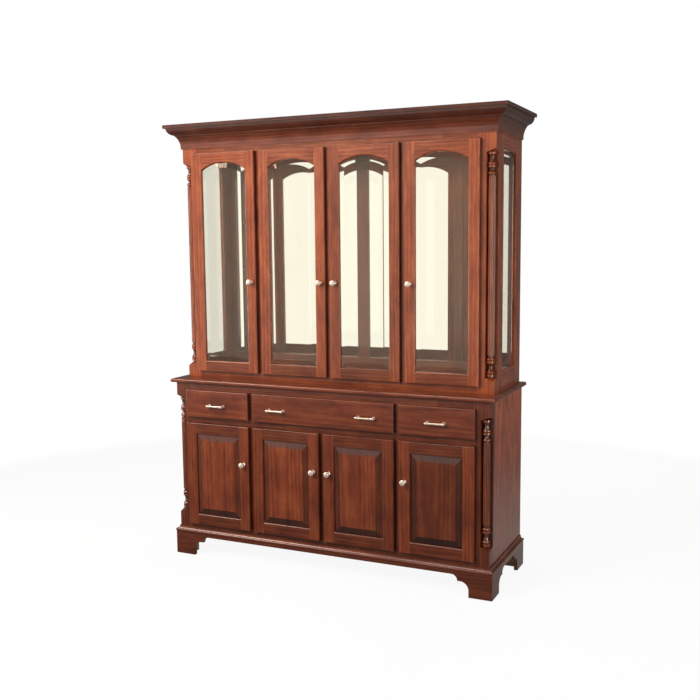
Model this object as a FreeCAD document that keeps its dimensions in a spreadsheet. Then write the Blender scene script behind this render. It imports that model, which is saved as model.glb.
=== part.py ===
import FreeCAD, Part

import math
import os
import re

import Sketcher

# Driving sizes, in millimetres

SIZES = {
    # the two cases and the levels that divide them
    "overall_height": 2134,
    "base_width": 1617,
    "base_depth": 512,
    "hutch_inset": 12.5,
    "hutch_depth": 419,
    "counter_height": 893,
    "counter_thickness": 18,
    "counter_overhang": 22,
    "counter_edge_radius": 7,
    "crown_height": 114,
    "crown_overhang": 69,
    "crown_recess": 2,
    "plinth_height": 115,
    "plinth_overhang": 17,
    "plinth_lap": 15,
    "moulding_height": 27,
    "moulding_overhang": 20,
    # bracket feet cut in the plinth boards
    "foot_width": 108,
    "foot_rise": 31,
    "foot_cove_radius": 39,
    "foot_step": 13,
    "foot_ovolo_radius": 28,
    "foot_block": 62,
    # boards and panels of the cases
    "frame_thickness": 20,
    "side_thickness": 20,
    "panel_thickness": 18,
    "back_thickness": 6,
    "post_margin": 67,
    "post_depth": 60,
    "notch_size": 44,
    "notch_slope": 16,
    "hutch_notch_low": 55,
    "hutch_notch_high": 68,
    "base_notch_low": 70,
    "base_notch_high": 65,
    "side_front_stile": 58,
    "side_back_stile": 99,
    "side_rail_low": 94,
    "side_rail_high": 68,
    "shelf_height": 390,
    "shelf_depth": 330,
    "cleat_size": 20,
    "plate_groove_width": 9,
    "plate_groove_depth": 4,
    "plate_groove_setback": 55,
    # back of the hutch
    "mirror_thickness": 4,
    "back_board": 18,
    "strip_thickness": 12,
    "strip_side_width": 37,
    "strip_mullion_width": 62,
    "strip_rail_width": 40,
    # doors and drawer fronts, which lie over the face frames
    "door_thickness": 20,
    "door_standoff": 1,
    "door_gap": 26,
    "door_overlay": 10,
    "door_edge_ease": 3,
    "sticking_radius": 6,
    "hutch_top_reveal": 25.5,
    "hutch_bottom_reveal": 33,
    "hutch_stile": 50,
    "hutch_rail_low": 53,
    "hutch_rail_high": 47.5,
    "arch_rise": 36,
    "rebate_width": 8,
    "rebate_depth": 10,
    "pane_clearance": 0.5,
    "pane_edge": 3,
    "bevel_width": 25,
    "bevel_depth": 3,
    "base_top_reveal": 33,
    "base_bottom_reveal": 21,
    "drawer_height": 133,
    "drawer_gap": 32,
    "base_stile": 54,
    "groove_depth": 8,
    "groove_width": 6,
    "groove_setback": 5,
    "raise_width": 30,
    "raise_depth": 5,
    "raise_step": 2,
    # pivots on which the doors swing
    "pivot_inset": 8,
    "pivot_heel": 8,
    "pin_radius": 3,
    "pin_length": 14,
    "pin_clearance": 0.05,
    "pin_end_gap": 1,
    "bracket_thickness": 2.5,
    "bracket_gap": 0.5,
    "bracket_tang": 14,
    "bracket_radius": 6.5,
    # drawer boxes
    "box_depth": 440,
    "box_height": 92,
    "box_side": 12,
    "box_bottom": 6,
    "box_bottom_rise": 8,
    "box_clearance": 4,
    "runner_clearance": 0.3,
    "guide_clearance": 1,
    "guide_height": 24,
    # knobs and pulls
    "knob_radius": 14,
    "knob_length": 32,
    "hutch_knob_height": 446,
    "base_knob_height": 330,
    "pull_spacing": 76,
    "pull_length": 92,
    "pull_reach": 28,
    "pull_radius": 6,
    "pull_foot_radius": 7.5,
    "pull_offset": 232,
    "pull_drop": 5,
    # turned and reeded corner columns
    "column_inset": 25,
    "column_clearance": 0.5,
    "turning_length": 100,
    "shaft_step": 1.5,
    "reed_radius": 4.4,
    # shared by all cuts
    "overrun": 2,
}

# Lengths that follow from the driving sizes

FORMULAS = {
    "front_proud": "door_standoff + door_thickness",
    "back_plane": "(base_depth + front_proud + max(knob_length; pull_reach)) / 2",
    "base_front": "back_plane - base_depth",
    "hutch_front": "back_plane - hutch_depth",
    "base_half": "base_width / 2",
    "hutch_width": "base_width - 2 * hutch_inset",
    "hutch_half": "hutch_width / 2",
    "post_width": "post_margin + door_overlay",
    "notch_depth": "notch_size / sqrt(2)",
    "turning_radius": "notch_size - column_inset - column_clearance",
    "shaft_radius": "turning_radius - shaft_step",
    "shaft_core": "shaft_radius - reed_radius",
    "frame_stile": "door_gap + 2 * door_overlay",
    "counter_bottom": "counter_height - counter_thickness",
    "crown_bottom": "overall_height - crown_height",
    "moulding_top": "plinth_height + moulding_height",
    "case_bottom": "plinth_height - plinth_lap",
    "hutch_case_top": "overall_height - crown_recess - panel_thickness",
    "base_door_width": "(base_width - 2 * post_margin - 3 * door_gap) / 4",
    "hutch_door_width": "(hutch_width - 2 * post_margin - 3 * door_gap) / 4",
    "base_pitch": "base_door_width + door_gap",
    "hutch_pitch": "hutch_door_width + door_gap",
    "drawer_top": "counter_bottom - base_top_reveal",
    "drawer_bottom": "drawer_top - drawer_height",
    "base_door_top": "drawer_bottom - drawer_gap",
    "base_door_bottom": "moulding_top + base_bottom_reveal",
    "base_door_height": "base_door_top - base_door_bottom",
    "hutch_door_bottom": "counter_height + hutch_bottom_reveal",
    "hutch_door_top": "crown_bottom - hutch_top_reveal",
    "hutch_door_height": "hutch_door_top - hutch_door_bottom",
    "base_floor_top": "base_door_bottom + door_overlay",
    "cupboard_top": "base_door_top - door_overlay",
    "drawer_deck_top": "drawer_bottom + door_overlay",
    "drawer_opening_top": "drawer_top - door_overlay",
    "hutch_deck_top": "hutch_door_bottom + door_overlay",
    "hutch_frame_top": "hutch_door_top - door_overlay",
    "base_inside": "base_half - side_thickness",
    "hutch_inside": "hutch_half - side_thickness",
    "partition_inner": "base_pitch - panel_thickness / 2",
    "partition_outer": "base_pitch + panel_thickness / 2",
    "arch_half": "hutch_door_width / 2 - hutch_stile",
    "arch_radius": "(arch_half ^ 2 + arch_rise ^ 2) / (2 * arch_rise)",
    "arch_centre": "hutch_door_height - hutch_rail_high - arch_radius",
    "side_glass_front": "hutch_front + post_depth + side_front_stile",
    "side_glass_back": "back_plane - side_back_stile",
    "side_glass_bottom": "counter_height + side_rail_low",
    "side_glass_top": "crown_bottom - side_rail_high",
    "strip_front": "back_plane - back_board - strip_thickness",
    "pivot_depth": "door_thickness / 2",
    "foot_top": "foot_rise + foot_cove_radius + foot_ovolo_radius",
    "foot_curve": "foot_cove_radius + foot_step + foot_ovolo_radius",
    "middle_drawer_width": "2 * base_door_width + door_gap",
    "side_box_width": "base_half - post_width - base_pitch - frame_stile / 2 - box_clearance",
    "side_box_centre": "(base_half - post_width + base_pitch + frame_stile / 2) / 2",
    "middle_box_width": "2 * base_pitch - frame_stile - box_clearance",
    "box_front": "base_front - door_standoff",
    "box_floor": "drawer_deck_top + runner_clearance",
}

# Outlines as shares of the sizes that they follow

KNOB_SHARES = [(0.0, 0.0), (0.58, 0.0), (0.58, 0.10), (0.36, 0.24), (0.36, 0.46), (0.90, 0.60), (1.0, 0.70)]
PULL_BAR_SHARES = [(0.0, 0.76), (0.5, 0.77), (0.70, 0.82), (0.76, 1.0), (0.94, 1.0), (1.0, 0.66)]
PULL_POST_SHARES = [(0.0, 1.0), (0.08, 1.0), (0.22, 0.52), (0.80, 0.44), (1.0, 0.44)]
CROWN_SHARES = {"fillet": 0.07, "cove_low": 0.10, "cove_high": 0.38, "cove_top": 0.545,
                "step_top": 0.57, "ovolo_low": 0.41, "ovolo_high": 0.84, "cap_low": 0.86}
MOULDING_SHARES = {"bead": 0.44, "bead_radius": 0.26, "quirk": 0.83, "cove_top": 0.88, "lip": 0.22}
FOOT_SHARES = [("neck", 0.06), ("disc", 0.10), ("bead", 0.15), ("cove", 0.34), ("disc", 0.09),
               ("bead", 0.15), ("neck", 0.11)]
HEAD_SHARES = [("neck", 0.05), ("bead", 0.13), ("cove", 0.18), ("disc", 0.08), ("bead", 0.14),
               ("cove", 0.33), ("disc", 0.09)]
TURNING_RADIUS_SHARES = {"disc": 1.0, "bead": 0.72, "neck": 0.76, "cove": 0.84}
COVE_SAG_SHARE = 0.26
REED_COUNT = 12
DOOR_PLACE_SHARES = (-1.5, -0.5, 0.5, 1.5)

LEFT = "left"
RIGHT = "right"
PICK_TOLERANCE = 0.01

doc = FreeCAD.newDocument("dresser_with_hutch")
sheet = doc.addObject("Spreadsheet::Sheet", "Sizes")
nodes = []


# Formulas, placing and grouping

def fill_sheet():
    """Write each driving size into a cell of its own, named by its alias."""
    for row, (alias, size) in enumerate(SIZES.items(), start=1):
        sheet.set(f"A{row}", alias)
        sheet.set(f"B{row}", str(size))
        sheet.setAlias(f"B{row}", alias)
    doc.recompute()


def expand(formula):
    """Write a formula out in cells of the sheet."""
    def cell(match):
        word = match.group(0)
        if word in FORMULAS:
            return "(" + expand(FORMULAS[word]) + ")"
        return "Sizes." + word if word in SIZES else word
    return re.sub(r"[a-z_]+", cell, formula)


def size_of(formula):
    """Work a formula out as a number."""
    return float(sheet.evalExpression(expand(formula)))


def bind(item, **formulas):
    """Tie properties of an item to formulas."""
    for name, formula in formulas.items():
        item.setExpression(name, expand(formula))


def place(item, x="0", y="0", z="0"):
    """Tie the place of an item to formulas."""
    for axis, formula in zip("xyz", (x, y, z)):
        item.setExpression("Placement.Base." + axis, expand(formula))
    return item


def box(name, x, y, z):
    """Make a board from its spans, each a pair of formulas."""
    board = doc.addObject("Part::Box", name)
    for prop, (low, high) in zip(("Length", "Width", "Height"), (x, y, z)):
        board.setExpression(prop, expand(f"({high}) - ({low})"))
    return place(board, x[0], y[0], z[0])


def rod(name, radius, x, y, z):
    """Make an upright rod over the z span."""
    pin = doc.addObject("Part::Cylinder", name)
    bind(pin, Radius=radius, Height=f"({z[1]}) - ({z[0]})")
    return place(pin, x, y, z[0])


def group(name, pieces):
    """Hold separate pieces together under one name."""
    held = doc.addObject("Part::Compound", name)
    held.Links = pieces
    return held


def cut(name, base, tools):
    """Take the tools away from a piece."""
    left = doc.addObject("Part::Cut", name)
    left.Base = base
    left.Tool = tools[0] if len(tools) == 1 else group(name + "_tools", tools)
    return left


def mirror(name, source):
    """Make the left-hand twin of a piece on the right."""
    twin = doc.addObject("Part::Mirroring", name)
    twin.Source = source
    twin.Normal = FreeCAD.Vector(1, 0, 0)
    return twin


def node(item, label):
    """Give a finished piece the label that names its file."""
    item.Label = label
    nodes.append(item)
    return item


# Bodies drawn as outlines

def origin_plane(body, role):
    """Find one of a body's own planes."""
    return next(feature for feature in body.Origin.OriginFeatures if feature.Role == role)


def arc_between(start, end, radius, turn):
    """Make the short arc from start to end that turns to the given side."""
    chord = end - start
    to_left = FreeCAD.Vector(-chord.y, chord.x, 0).normalize()
    reach = math.sqrt(max(radius ** 2 - chord.Length ** 2 / 4, 0))
    side = 1 if turn == LEFT else -1
    centre = (start + end) * 0.5 + to_left * (reach * side)
    first, last = (start, end) if turn == LEFT else (end, start)
    low = math.atan2(first.y - centre.y, first.x - centre.x)
    high = math.atan2(last.y - centre.y, last.x - centre.x)
    if high < low:
        high += 2 * math.pi
    return Part.ArcOfCircle(Part.Circle(centre, FreeCAD.Vector(0, 0, 1), radius), low, high)


def tie_corner(sketch, geometry, end, axis, formula):
    """Tie one coordinate of a corner to a formula."""
    if formula == "0":
        line = -2 if axis == "X" else -1
        sketch.addConstraint(Sketcher.Constraint("PointOnObject", geometry, end, line))
        return
    rule = Sketcher.Constraint("Distance" + axis, -1, 1, geometry, end, size_of(formula))
    number = sketch.addConstraint(rule)
    sketch.setExpression(f"Constraints[{number}]", expand(formula))


def outline(body, role, path, offset="0"):
    """Draw a closed outline on a plane of the body.

    Each corner of the path is (x formula, y formula, bend): the bend is None where a straight
    stretch leaves the corner, or the side that the arc turns to and its radius formula.
    """
    sketch = body.newObject("Sketcher::SketchObject", body.Name + "_outline")
    sketch.AttachmentSupport = [(origin_plane(body, role), "")]
    sketch.MapMode = "FlatFace"
    sketch.setExpression("AttachmentOffset.Base.z", expand(offset))
    corners = [FreeCAD.Vector(size_of(x), size_of(y), 0) for x, y, _ in path]
    ends = []
    for index, (_, _, bend) in enumerate(path):
        start, end = corners[index], corners[(index + 1) % len(path)]
        if bend is None:
            sketch.addGeometry(Part.LineSegment(start, end), False)
            ends.append((1, 2))
        else:
            sketch.addGeometry(arc_between(start, end, size_of(bend[1]), bend[0]), False)
            ends.append((1, 2) if bend[0] == LEFT else (2, 1))
    for index, (x, y, bend) in enumerate(path):
        follower = (index + 1) % len(path)
        joint = (index, ends[index][1], follower, ends[follower][0])
        sketch.addConstraint(Sketcher.Constraint("Coincident", *joint))
        tie_corner(sketch, index, ends[index][0], "X", x)
        tie_corner(sketch, index, ends[index][0], "Y", y)
        if bend is not None:
            number = sketch.addConstraint(Sketcher.Constraint("Radius", index, size_of(bend[1])))
            sketch.setExpression(f"Constraints[{number}]", expand(bend[1]))
    return sketch


def new_body(name):
    """Start a body."""
    return doc.addObject("PartDesign::Body", name)


def pad(body, role, path, length, symmetric=False, offset="0", taper=None):
    """Add an outline's extrusion, tapered where a formula for the angle is given."""
    feature = body.newObject("PartDesign::Pad", body.Name + "_pad")
    feature.Profile = outline(body, role, path, offset)
    bind(feature, Length=length)
    if symmetric:
        feature.SideType = "Symmetric"
    if taper:
        bind(feature, TaperAngle=taper)
    return feature


def pocket(body, role, path, length=None):
    """Cut an outline out of a body: right through, or to a depth in front of its plane."""
    doc.recompute()
    before = body.Shape.Volume
    feature = body.newObject("PartDesign::Pocket", body.Name + "_pocket")
    feature.Profile = outline(body, role, path)
    if length is None:
        feature.Type = "ThroughAll"
        feature.SideType = "Symmetric"
    else:
        feature.Reversed = True
        bind(feature, Length=length)
    doc.recompute()
    if body.Shape.Volume >= before:
        raise ValueError(f"{feature.Name} cuts nothing")
    return feature


def round_edges(body, radius, wanted):
    """Round the edges of a body that the test picks."""
    doc.recompute()
    names = [f"Edge{number}" for number, edge in enumerate(body.Shape.Edges, start=1) if wanted(edge)]
    base = body.Tip
    feature = body.newObject("PartDesign::Fillet", body.Name + "_round")
    feature.Base = (base, names)
    bind(feature, Radius=radius)
    return feature


def revolve(name, role, path, axis):
    """Turn an outline about an axis of its sketch."""
    body = new_body(name)
    sketch = outline(body, role, path)
    feature = body.newObject("PartDesign::Revolution", name + "_turn")
    feature.Profile = sketch
    feature.ReferenceAxis = (sketch, [axis])
    return body


def rectangle(low_x, low_y, high_x, high_y):
    """Path round a rectangle, turning left."""
    return [(low_x, low_y, None), (high_x, low_y, None), (high_x, high_y, None), (low_x, high_y, None)]


def eased_board(name, width, height, thickness):
    """Board standing on z zero behind the plane y = -thickness, with its front edges rounded."""
    body = new_body(name)
    half = f"({width}) / 2"
    pad(body, "XZ_Plane", rectangle("-" + half, "0", half, height), thickness)
    face = -size_of(thickness)

    def on_face(edge):
        span = edge.BoundBox
        return max(abs(span.YMin - face), abs(span.YMax - face)) < PICK_TOLERANCE
    round_edges(body, "door_edge_ease", on_face)
    return body


# Mouldings that run round the front and both sides with mitred corners

def mitred_run(name, profile, reach, width, depth, front, bottom, front_cut=None, side_cut=None):
    """Three lengths of one profile, mitred at the front corners, as a group.

    The profile is a path of (projection formula, height formula, bend), turning left.
    """
    half = f"({width}) / 2"
    front_run = new_body(name + "_front")
    mirrored = [(f"-({out})", up, bend) for out, up, bend in reversed(shift_bends(profile))]
    pad(front_run, "YZ_Plane", mirrored, f"({width}) + 2 * ({reach})", symmetric=True)
    far = f"{half} + ({reach}) + overrun"
    for side in ("", "-"):
        corner = [(f"{side}({half} - overrun)", "overrun", None),
                  (f"{side}({far})", f"-({reach}) - overrun", None), (f"{side}({far})", "overrun", None)]
        pocket(front_run, "XY_Plane", corner)
    if front_cut:
        pocket(front_run, "XZ_Plane", front_cut)
    place(front_run, "0", front, bottom)

    length = f"(({depth}) + ({reach}))"
    side_run = new_body(name + "_side")
    pad(side_run, "XZ_Plane", profile, length, symmetric=True)
    start = f"-{length} / 2"
    corner = [("-overrun", f"{start} + ({reach}) + overrun", None),
              ("-overrun", f"{start} - overrun", None), (f"({reach}) + overrun", f"{start} - overrun", None)]
    pocket(side_run, "XY_Plane", corner)
    if side_cut:
        pocket(side_run, "YZ_Plane", side_cut)
    place(side_run, half, f"({front}) - ({reach}) + {length} / 2", bottom)
    return group(name, [front_run, side_run, mirror(name + "_side_twin", side_run)])


def shift_bends(profile):
    """Move each bend to the corner at its other end, for a path walked backwards."""
    bends = [profile[index - 1][2] for index in range(len(profile))]
    return [(out, up, bend) for (out, up, _), bend in zip(profile, bends)]


def arc_radius(run, rise):
    """Radius formula of a curve that starts square to its shorter span."""
    return f"(({run}) ^ 2 + ({rise}) ^ 2) / (2 * min({run}; {rise}))"


def crown_profile():
    """Fillet, cove, ovolo and square cap, from the bottom up."""
    def out(key):
        return f"{CROWN_SHARES[key]} * crown_overhang"

    def up(key):
        return f"{CROWN_SHARES[key]} * crown_height"
    cove = arc_radius(f"{out('cove_high')} - {out('cove_low')}", f"{up('cove_top')} - {up('fillet')}")
    ovolo = arc_radius(f"{out('ovolo_high')} - {out('ovolo_low')}", f"{up('cap_low')} - {up('step_top')}")
    return [("0", "0", None), (out("cove_low"), "0", None), (out("cove_low"), up("fillet"), (RIGHT, cove)),
            (out("cove_high"), up("cove_top"), None), (out("ovolo_low"), up("cove_top"), None),
            (out("ovolo_low"), up("step_top"), (LEFT, ovolo)), (out("ovolo_high"), up("cap_low"), None),
            ("crown_overhang", up("cap_low"), None), ("crown_overhang", "crown_height", None),
            ("0", "crown_height", None)]


def moulding_profile():
    """Bead with a cove above it that runs up to a thin lip."""
    bead = f"{MOULDING_SHARES['bead']} * moulding_height"
    swell = f"{MOULDING_SHARES['bead_radius']} * moulding_height"
    depth = f"{MOULDING_SHARES['quirk']} * moulding_overhang"
    seat = f"{depth} - {swell}"
    lip = f"{MOULDING_SHARES['lip']} * moulding_overhang"
    top = f"{MOULDING_SHARES['cove_top']} * moulding_height"
    cove = arc_radius(f"{seat} - {lip}", f"{top} - {bead}")
    return [("0", "0", None), (depth, "0", (LEFT, swell)), (depth, bead, None), (seat, bead, (RIGHT, cove)),
            (lip, top, None), (lip, "moulding_height", None), ("0", "moulding_height", None)]


def bracket_path(foot_low, foot_high):
    """Opening between two bracket feet, whose inner edges lie at the two formulas."""
    floor = "-overrun"
    step = "foot_rise + foot_cove_radius"
    right = [(foot_high, floor, None), (foot_high, "foot_rise", (LEFT, "foot_cove_radius")),
             (f"{foot_high} - foot_cove_radius", step, None),
             (f"{foot_high} - foot_cove_radius - foot_step", step, (LEFT, "foot_ovolo_radius")),
             (f"{foot_high} - foot_curve", "foot_top", None)]
    left = [(f"{foot_low} + foot_curve", "foot_top", (LEFT, "foot_ovolo_radius")),
            (f"{foot_low} + foot_cove_radius + foot_step", step, None),
            (f"{foot_low} + foot_cove_radius", step, (LEFT, "foot_cove_radius")),
            (foot_low, "foot_rise", None), (foot_low, floor, None)]
    return right + left


def build_mouldings():
    """Crown, base moulding and plinth."""
    crown = mitred_run("crown_run", crown_profile(), "crown_overhang", "hutch_width", "hutch_depth",
                       "hutch_front", "crown_bottom")
    node(crown, "crown")
    moulding = mitred_run("moulding_run", moulding_profile(), "moulding_overhang", "base_width",
                          "base_depth", "base_front", "plinth_height")
    node(moulding, "base_moulding")
    foot = "(base_half + plinth_overhang - foot_width)"
    length = "(base_depth + plinth_overhang)"
    inner = f"({length} / 2 - foot_width)"
    plinth = mitred_run("plinth_run", rectangle("0", "0", "plinth_overhang", "plinth_height"),
                        "plinth_overhang", "base_width", "base_depth", "base_front", "0",
                        bracket_path("-" + foot, foot), bracket_path("-" + inner, inner))
    node(plinth, "plinth")
    rows = (("base_front", "base_front + foot_block"), ("back_plane - foot_block", "back_plane"))
    blocks = []
    for row in rows:
        block = box("foot_block_right", ("base_half - foot_block", "base_half"), row, ("0", "case_bottom"))
        blocks += [block, mirror("foot_block_left", block)]
    node(group("foot_block_group", blocks), "foot_blocks")


# Turned and reeded columns in the notched corner posts

def arc_over(span, sag):
    """Radius formula of an arc that rises by the sag over a straight span."""
    return f"(({span} / 2) ^ 2 + ({sag}) ^ 2) / (2 * ({sag}))"


def add_turning(path, shares, start):
    """Add the discs, beads, coves and necks of one turned group, from its start upwards."""
    travelled = 0.0
    low = start
    for kind, share in shares:
        radius = f"{TURNING_RADIUS_SHARES[kind]} * turning_radius"
        span = f"{share} * turning_length"
        bend = None
        if kind == "bead":
            bend = (LEFT, arc_over(span, f"min(turning_radius - {radius}; {span} / 2)"))
        if kind == "cove":
            bend = (RIGHT, arc_over(span, f"{COVE_SAG_SHARE} * turning_radius"))
        travelled += share
        high = f"({start}) + {travelled:.2f} * turning_length"
        path.append((radius, low, bend))
        path.append((radius, high, None))
        low = high


def turning_path(length):
    """Half outline of a column: a turned foot, a shaft and a turned head."""
    head = f"({length}) - turning_length"
    path = [("0", "0", None)]
    add_turning(path, FOOT_SHARES, "0")
    path += [("shaft_core", "turning_length", None), ("shaft_core", head, None)]
    add_turning(path, HEAD_SHARES, head)
    path.append(("0", length, None))
    return path


def reeds(name, x, y, span):
    """Rods that stand side by side round the core of a shaft."""
    rods = []
    for number in range(REED_COUNT):
        turn = 2 * math.pi * number / REED_COUNT
        rods.append(rod(name, "reed_radius", f"{x} + {math.cos(turn):.6f} * shaft_core",
                        f"{y} + {math.sin(turn):.6f} * shaft_core", span))
    return rods


def sloped_notch(name, half, front, stops):
    """Square notch in the corner of a post, with ends that slope out to the corner."""
    low_stop, high_stop = stops
    square = box(name, (f"{half} - notch_size", f"{half} + overrun"),
                 (f"{front} - overrun", f"{front} + notch_size"), stops)
    slopes = new_body(name + "_slopes")
    spread = "notch_slope * (notch_depth + overrun) / notch_depth"
    pad(slopes, "XZ_Plane", [("-notch_depth", low_stop, None), ("overrun", f"{low_stop} - {spread}", None),
                             ("overrun", f"{high_stop} + {spread}", None), ("-notch_depth", high_stop, None)],
        "2 * notch_size", symmetric=True)
    slopes.Placement = FreeCAD.Placement(FreeCAD.Vector(), FreeCAD.Rotation(FreeCAD.Vector(0, 0, 1), -45))
    return [square, place(slopes, half, front)]


def corner_post(name, half, front, rise, corners, brackets):
    """Right-hand corner post with its notch, and the column that stands in the notch."""
    stops = (f"{corners[0]} + notch_slope", f"{corners[1]} - notch_slope")
    blank = box(name + "_blank", (f"{half} - post_width", half), (front, f"{front} + post_depth"), rise)
    post = cut(name, blank, sloped_notch(name + "_notch", half, front, stops) + [brackets])
    turned = revolve(name + "_turned", "XZ_Plane", turning_path(f"({stops[1]}) - ({stops[0]})"), "V_Axis")
    x, y = f"{half} - column_inset", f"{front} + column_inset"
    place(turned, x, y, stops[0])
    shaft = (f"{stops[0]} + turning_length", f"{stops[1]} - turning_length")
    column = doc.addObject("Part::MultiFuse", name + "_column")
    column.Shapes = [turned] + reeds(name + "_reed", x, y, shaft)
    return post, column


def build_posts(brackets):
    """Corner posts and columns of both cases."""
    columns = []
    cases = (("base_post", "base_half", "base_front", ("case_bottom", "counter_bottom"),
              ("moulding_top + base_notch_low", "counter_bottom - base_notch_high")),
             ("hutch_post", "hutch_half", "hutch_front", ("counter_height", "hutch_case_top"),
              ("counter_height + hutch_notch_low", "crown_bottom - hutch_notch_high")))
    for name, half, front, rise, corners in cases:
        post, column = corner_post(name, half, front, rise, corners, brackets)
        node(group(name + "_pair", [post, mirror(name + "_twin", post)]), name + "s")
        columns += [column, mirror(name + "_column_twin", column)]
    node(group("column_group", columns), "corner_columns")


def post_room(name, half, front, bottom, top):
    """Space that the two corner posts take out of a board behind them."""
    right = box(name + "_room", (f"{half} - post_width", f"{half} + overrun"),
                (f"{front} - overrun", f"{front} + post_depth"), (bottom, top))
    return [right, mirror(name + "_room_twin", right)]


# Base case

def build_base_case(brackets):
    """Sides, face frame, floor, partitions, drawer decks, shelves, back and top of the base."""
    inner = "base_front + frame_thickness"
    back = "back_plane - back_thickness"
    side = box("base_side", ("base_inside", "base_half"), ("base_front + post_depth", "back_plane"),
               ("case_bottom", "counter_bottom"))
    node(group("base_side_pair", [side, mirror("base_side_twin", side)]), "base_sides")

    front = ("base_front", inner)
    between = ("-base_half + post_width", "base_half - post_width")
    rails = [box("base_rail", between, front, span) for span in
             (("case_bottom", "base_floor_top"), ("cupboard_top", "drawer_deck_top"),
              ("drawer_opening_top", "counter_bottom"))]
    rails = [cut("base_rail_mortised", rail, [brackets]) for rail in rails[:2]] + rails[2:]
    stiles = [box("base_centre_stile", ("-frame_stile / 2", "frame_stile / 2"), front,
                  ("base_floor_top", "cupboard_top"))]
    outer = ("base_pitch - frame_stile / 2", "base_pitch + frame_stile / 2")
    for span in (("base_floor_top", "cupboard_top"), ("drawer_deck_top", "drawer_opening_top")):
        stile = box("base_stile", outer, front, span)
        stiles += [stile, mirror("base_stile_twin", stile)]
    node(group("base_frame_group", rails + stiles), "base_face_frame")

    floor = box("base_floor_board", ("-base_inside", "base_inside"), (inner, back),
                ("base_floor_top - panel_thickness", "base_floor_top"))
    room = post_room("base", "base_half", "base_front", "case_bottom", "counter_bottom")
    node(cut("base_floor_cut", floor, room), "base_floor")

    partition = box("partition", ("partition_inner", "partition_outer"), (inner, back),
                    ("base_floor_top", "counter_bottom"))
    node(group("partition_pair", [partition, mirror("partition_twin", partition)]), "base_partitions")

    deck_span = ("drawer_deck_top - panel_thickness", "drawer_deck_top")
    middle_deck = box("middle_deck", ("-partition_inner", "partition_inner"), (inner, back), deck_span)
    side_deck = box("side_deck_board", ("partition_outer", "base_inside"), (inner, back), deck_span)
    side_deck = cut("side_deck", side_deck, room[:1])
    node(group("deck_group", [middle_deck, side_deck, mirror("side_deck_twin", side_deck)]), "drawer_decks")

    build_shelves(back)
    node(box("base_back_board", ("-base_inside", "base_inside"), (back, "back_plane"),
             ("case_bottom", "counter_bottom")), "base_back")
    build_counter()


def build_shelves(back):
    """One shelf in each cupboard, on cleats screwed to the walls."""
    span = ("shelf_height", "shelf_height + panel_thickness")
    depth = (f"{back} - shelf_depth", back)
    middle = box("middle_shelf", ("-partition_inner", "partition_inner"), depth, span)
    side = box("side_shelf", ("partition_outer", "base_inside"), depth, span)
    node(group("shelf_group", [middle, side, mirror("side_shelf_twin", side)]), "cupboard_shelves")
    cleats = []
    walls = (("partition_inner - cleat_size", "partition_inner"),
             ("partition_outer", "partition_outer + cleat_size"),
             ("base_inside - cleat_size", "base_inside"))
    for wall in walls:
        cleat = box("cleat", wall, depth, ("shelf_height - cleat_size", "shelf_height"))
        cleats += [cleat, mirror("cleat_twin", cleat)]
    node(group("cleat_group", cleats), "shelf_cleats")


def build_counter():
    """Countertop with its front and side edges rounded above and below."""
    body = new_body("countertop_board")
    reach = "(base_half + counter_overhang)"
    path = rectangle("-" + reach, "base_front - counter_overhang", reach, "back_plane")
    pad(body, "XY_Plane", path, "counter_thickness")
    back = size_of("back_plane")

    def exposed(edge):
        span = edge.BoundBox
        return span.ZLength < PICK_TOLERANCE and span.YMin < back - size_of("overrun")
    round_edges(body, "counter_edge_radius", exposed)
    place(body, "0", "0", "counter_bottom")
    node(body, "countertop")


# Hutch case

def build_hutch_case(brackets):
    """Face frame, glazed sides, deck, top, back, mirrors and the strips round them."""
    inner = "hutch_front + frame_thickness"
    front = ("hutch_front", inner)
    between = ("-hutch_half + post_width", "hutch_half - post_width")
    spans = (("counter_height", "hutch_deck_top"), ("hutch_frame_top", "hutch_case_top"))
    rails = [cut("hutch_rail", box("hutch_rail_board", between, front, span), [brackets]) for span in spans]
    rise = ("hutch_deck_top", "hutch_frame_top")
    outer = ("hutch_pitch - frame_stile / 2", "hutch_pitch + frame_stile / 2")
    stile = box("hutch_stile", outer, front, rise)
    centre = box("hutch_centre_stile", ("-frame_stile / 2", "frame_stile / 2"), front, rise)
    node(group("hutch_frame_group", rails + [centre, stile, mirror("hutch_stile_twin", stile)]),
         "hutch_face_frame")
    build_hutch_sides()

    back = "back_plane - back_board"
    deck = box("hutch_deck_board", ("-hutch_inside", "hutch_inside"), (inner, back),
               ("hutch_deck_top - panel_thickness", "hutch_deck_top"))
    groove_back = "strip_front - plate_groove_setback"
    groove = box("plate_groove", ("-hutch_inside + post_width", "hutch_inside - post_width"),
                 (f"{groove_back} - plate_groove_width", groove_back),
                 ("hutch_deck_top - plate_groove_depth", "hutch_deck_top + overrun"))
    room = post_room("hutch", "hutch_half", "hutch_front", "counter_height", "hutch_case_top")
    node(cut("hutch_deck_cut", deck, room + [groove]), "hutch_deck")
    node(box("hutch_top_board", ("-hutch_half", "hutch_half"), ("hutch_front", "back_plane"),
             ("hutch_case_top", "hutch_case_top + panel_thickness")), "hutch_top")
    node(box("hutch_back_board", ("-hutch_inside", "hutch_inside"), (back, "back_plane"),
             ("counter_height", "hutch_case_top")), "hutch_back")
    build_mirrors(back)


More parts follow.
